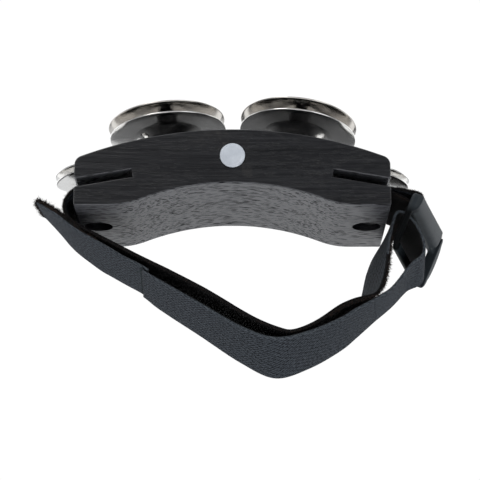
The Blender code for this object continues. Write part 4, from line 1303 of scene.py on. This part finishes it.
# ============================================================= ring buckle
# Ring places are (along the bar, down the ring, out of its plane).
RING_DOWN = (RING_FALL - RING_ALONG * RING_FALL.dot(RING_ALONG)).normalized()
RING_OUT = RING_DOWN.cross(RING_ALONG).normalized()
RING_CENTRE = RING_BAR + RING_DOWN * (RING_HEIGHT / 2 - BAR_FALL)
RING_FRAME = (Matrix.Translation(point(*RING_BAR))
              @ Matrix((RING_ALONG, RING_DOWN, -RING_OUT)).transposed().to_4x4())
RING_INVERSE = RING_FRAME.inverted()


def ring_local(along, down, out):
    spot = (RING_CENTRE + RING_ALONG * along + RING_DOWN * (down - RING_HEIGHT / 2)
            + RING_OUT * out)
    return RING_INVERSE @ point(*spot)


def ring_plan():
    """The ring's outline as (along, down): rounded corners, bulging ends
    and a slimmer front end."""
    low_r, top_r = 6.0, 3.5
    corner = [math.radians(90 * k / 8) for k in range(9)]
    end = [(RING_HALF - top_r + top_r * math.sin(a), top_r - top_r * math.cos(a)) for a in corner]
    for share in (0.2, 0.275, 0.35, 0.425, 0.5, 0.575, 0.65, 0.725):
        bulge = RING_BULGE * max(0.0, 1 - ((share - 0.46) / 0.38) ** 2)
        end.append((RING_HALF + bulge, RING_HEIGHT * share))
    end += [(RING_HALF - low_r + low_r * math.sin(a), RING_HEIGHT - low_r + low_r * math.cos(a))
            for a in reversed(corner)]
    slim = RING_HALF - NEAR_HALF
    near = [(-min(NEAR_HALF, u - slim * min(1.0, max(0.0, (u - 24.0) / 6.0))), v)
            for u, v in reversed(end)]
    return end + near


def ring_slab(name, levels):
    """The ring's plan as a slab through (out, inset) levels."""
    plan = ring_plan()
    count = len(plan)
    middle = Vector((0.0, sum(p[1] for p in plan) / count))
    rows = []
    for out, inward in levels:
        row = []
        for i in range(count):
            a, b, c = Vector(plan[i - 1]), Vector(plan[i]), Vector(plan[(i + 1) % count])
            mitre = Vector((0.0, 0.0))
            for start, end in ((a, b), (b, c)):
                run = (end - start).normalized()
                normal = Vector((-run.y, run.x))
                if normal.dot(middle - b) < 0:
                    normal = -normal
                mitre += normal
            mitre.normalize()
            row.append(ring_local(b.x + mitre.x * inward, b.y + mitre.y * inward, out))
        rows.append(row)
    verts, faces = loft(rows)
    return new_object(name, verts, faces, [PLASTIC], RING_FRAME)


def section_bar(section, start, end, end_section=None):
    """A solid along the bar's direction between two (down, out) sections."""
    count = len(section)
    verts = [ring_local(start, *spot) for spot in section]
    verts += [ring_local(end, *spot) for spot in end_section or section]
    faces = []
    for i in range(count):
        j = (i + 1) % count
        faces += [(i, j, count + j), (i, count + j, count + i)]
    faces += [tuple(reversed(range(count))), tuple(range(count, 2 * count))]
    return new_object("cutter", verts, faces, [PLASTIC], RING_FRAME)


def curve_points(points):
    return [(p.x, p.y) for p in catmull(points, 4)]


def build_ring():
    half = RING_T / 2
    ring = ring_slab("buckle_visual", [(-half, 0.9), (-half + 0.25, 0.35), (-half + 0.8, 0.0),
                                       (half - 0.8, 0.0), (half - 0.25, 0.35), (half, 0.9)])
    # hood over the bar
    foot = [(0.7, -0.2), (PLATE_TO - 0.35, -0.2), (PLATE_TO - 0.35, 1.6)]
    hood = section_bar(foot + curve_points(HOOD_NEAR) + [(1.1, 3.0), (0.7, 2.9)], -29.7, HOOD_END,
                       foot + curve_points(HOOD_FAR) + [(-0.4, 3.0), (0.7, 2.9)])
    boolean(ring, hood, 'UNION')
    # raised cheek at the back end
    cheek = ring_slab("cutter", [(0.2, 0.0), (CHEEK_FACE - 1.0, 0.0), (CHEEK_FACE - 0.4, 0.3),
                                 (CHEEK_FACE, 0.95)])
    keep = section_bar([(1.0, -6), (1.0, 6), (32.0, 6), (32.0, -6)], OPENING_HALF, 36.0)
    boolean(cheek, keep, 'INTERSECT')
    boolean(ring, cheek, 'UNION')
    # hollow under the hood, and the opening between plate and rail
    hollow = section_bar([(-6.0, -6.0), (-6.0, 3.4)] + curve_points(HOOD_INSIDE)
                         + [(PLATE_FROM, -6.0)], -OPENING_HALF, OPENING_HALF)
    boolean(ring, hollow)
    opening = section_bar([(PLATE_TO, -6), (PLATE_TO, 6), (RAIL_FROM, 6), (RAIL_FROM, -6)],
                          -OPENING_HALF, OPENING_HALF)
    boolean(ring, opening)
    bar = turned("cutter", [(0, -28.4), (BAR_R, -28.4), (BAR_R, 29.1), (0, 29.1)], PLASTIC,
                 RING_FRAME @ Matrix.Rotation(math.radians(90), 4, 'Y'), 32)
    boolean(ring, bar, 'UNION')
    bake(ring, [hood, cheek, keep, hollow, opening, bar])
    # rounds every edge as if moulded
    modify(ring, "moulded", 'REMESH', mode='VOXEL', voxel_size=0.00032, use_smooth_shade=True)
    modify(ring, "soften", 'SMOOTH', factor=0.5, iterations=5)
    bake(ring)
    place(ring, "buckle", "buckle_plastic", "buckle_ring")


# ================================================= light, floor and camera
# strengths of the surroundings
BACK_LEVEL = 1.45
DARK_LEVEL = 0.065
TOP_LEVEL = 1.0
SEEN_LEVEL = 1.02


def build_world():
    """White behind and above, nearly dark in front; the camera itself sees
    plain white."""
    world = bpy.data.worlds.new("studio")
    scene.world = world
    world.use_nodes = True
    world.node_tree.nodes.clear()
    sky = Nodes(world.node_tree)

    def step(value, start, end):
        return sky.node("ShaderNodeMapRange", "Result",
                        {"Value": value, "From Min": start, "From Max": end},
                        interpolation_type='SMOOTHSTEP')

    _, y, z = sky.xyz(sky.coords("Generated"))
    back = step(y, start=-0.12, end=0.32)
    above = step(z, start=0.55, end=0.85)
    level = sky.math('MAXIMUM', back * BACK_LEVEL + DARK_LEVEL, above * TOP_LEVEL)
    # slightly cool
    color = sky.node("ShaderNodeCombineColor", 0, {0: level * 0.985, 1: level, 2: level * 1.02})
    lighting = sky.node("ShaderNodeBackground", 0, {"Color": color})
    seen = sky.node("ShaderNodeBackground", 0, {"Color": (1.0, 1.0, 1.0), "Strength": SEEN_LEVEL})
    from_camera = sky.node("ShaderNodeLightPath", "Is Camera Ray")
    pick = sky.node("ShaderNodeMixShader", 0, {0: from_camera, 1: lighting, 2: seen})
    sky.put(sky.tree.nodes.new("ShaderNodeOutputWorld").inputs["Surface"], pick)


def area_light(name, location, target, size, power, color):
    data = bpy.data.lights.new(name, 'AREA')
    data.shape = 'RECTANGLE'
    data.size, data.size_y = size
    data.energy = power
    data.color = color
    obj = bpy.data.objects.new(name, data)
    obj.location = location
    aim = Vector(target) - Vector(location)
    obj.rotation_euler = aim.to_track_quat('-Z', 'Y').to_euler()
    collection.objects.link(obj)


def build_floor():
    mat = Material("pale_floor")
    grain = mat.noise(mat.coords(), 6.0, detail=3.0, rough=0.5)
    color = mat.ramp(grain, (0.3, (0.78, 0.78, 0.78)), (0.7, (0.82, 0.82, 0.82)))
    half, z = 6.0, -0.95    # metres
    corners = [(-half, -half, z), (half, -half, z), (half, half, z), (-half, half, z)]
    floor = new_object("floor", corners, [(0, 1, 2, 3)], [mat.finish(color, 0.6)],
                       None, None, False)


def build_camera():
    data = bpy.data.cameras.new("camera")
    data.lens = 135.0
    data.sensor_width = 36.0
    data.clip_start = 0.01
    data.clip_end = 50.0
    camera = bpy.data.objects.new("camera", data)
    camera.location = (0.0036, -0.842, -0.2721)
    camera.rotation_euler = (math.radians(106.8), 0.0, 0.0)
    collection.objects.link(camera)
    scene.camera = camera


# ================================================================ assembly
build_block()
build_badge()
top_group("top_left", -1, roll=-0.9, lift=3.0)
top_group("top_right", 1, roll=0.7, lift=6.0)
end_group("end_left", -1, levels=(24.6, 28.2))
end_group("end_right", 1, levels=(23.0, 26.2))
build_lap()
build_tail()
build_tab()
build_lap_fibres()
build_tail_fibres()
build_tab_fibres()
build_stitches()
build_short_loop()
build_ring()

build_world()
area_light("key_box", location=(-0.55, -0.75, 0.75), target=(0, 0, 0), size=(0.5, 0.5),
           power=5.0, color=(1.0, 0.99, 0.97))
area_light("fill_box", location=(0.75, -0.85, 0.15), target=(0, 0, -0.01), size=(0.6, 0.6),
           power=2.2, color=(0.96, 0.98, 1.0))
area_light("low_box", location=(0.0, -0.35, -0.75), target=(0, 0, -0.02), size=(0.8, 0.5),
           power=1.8, color=(0.97, 0.985, 1.0))
build_floor()
build_camera()
scene.view_settings.view_transform = 'Standard'
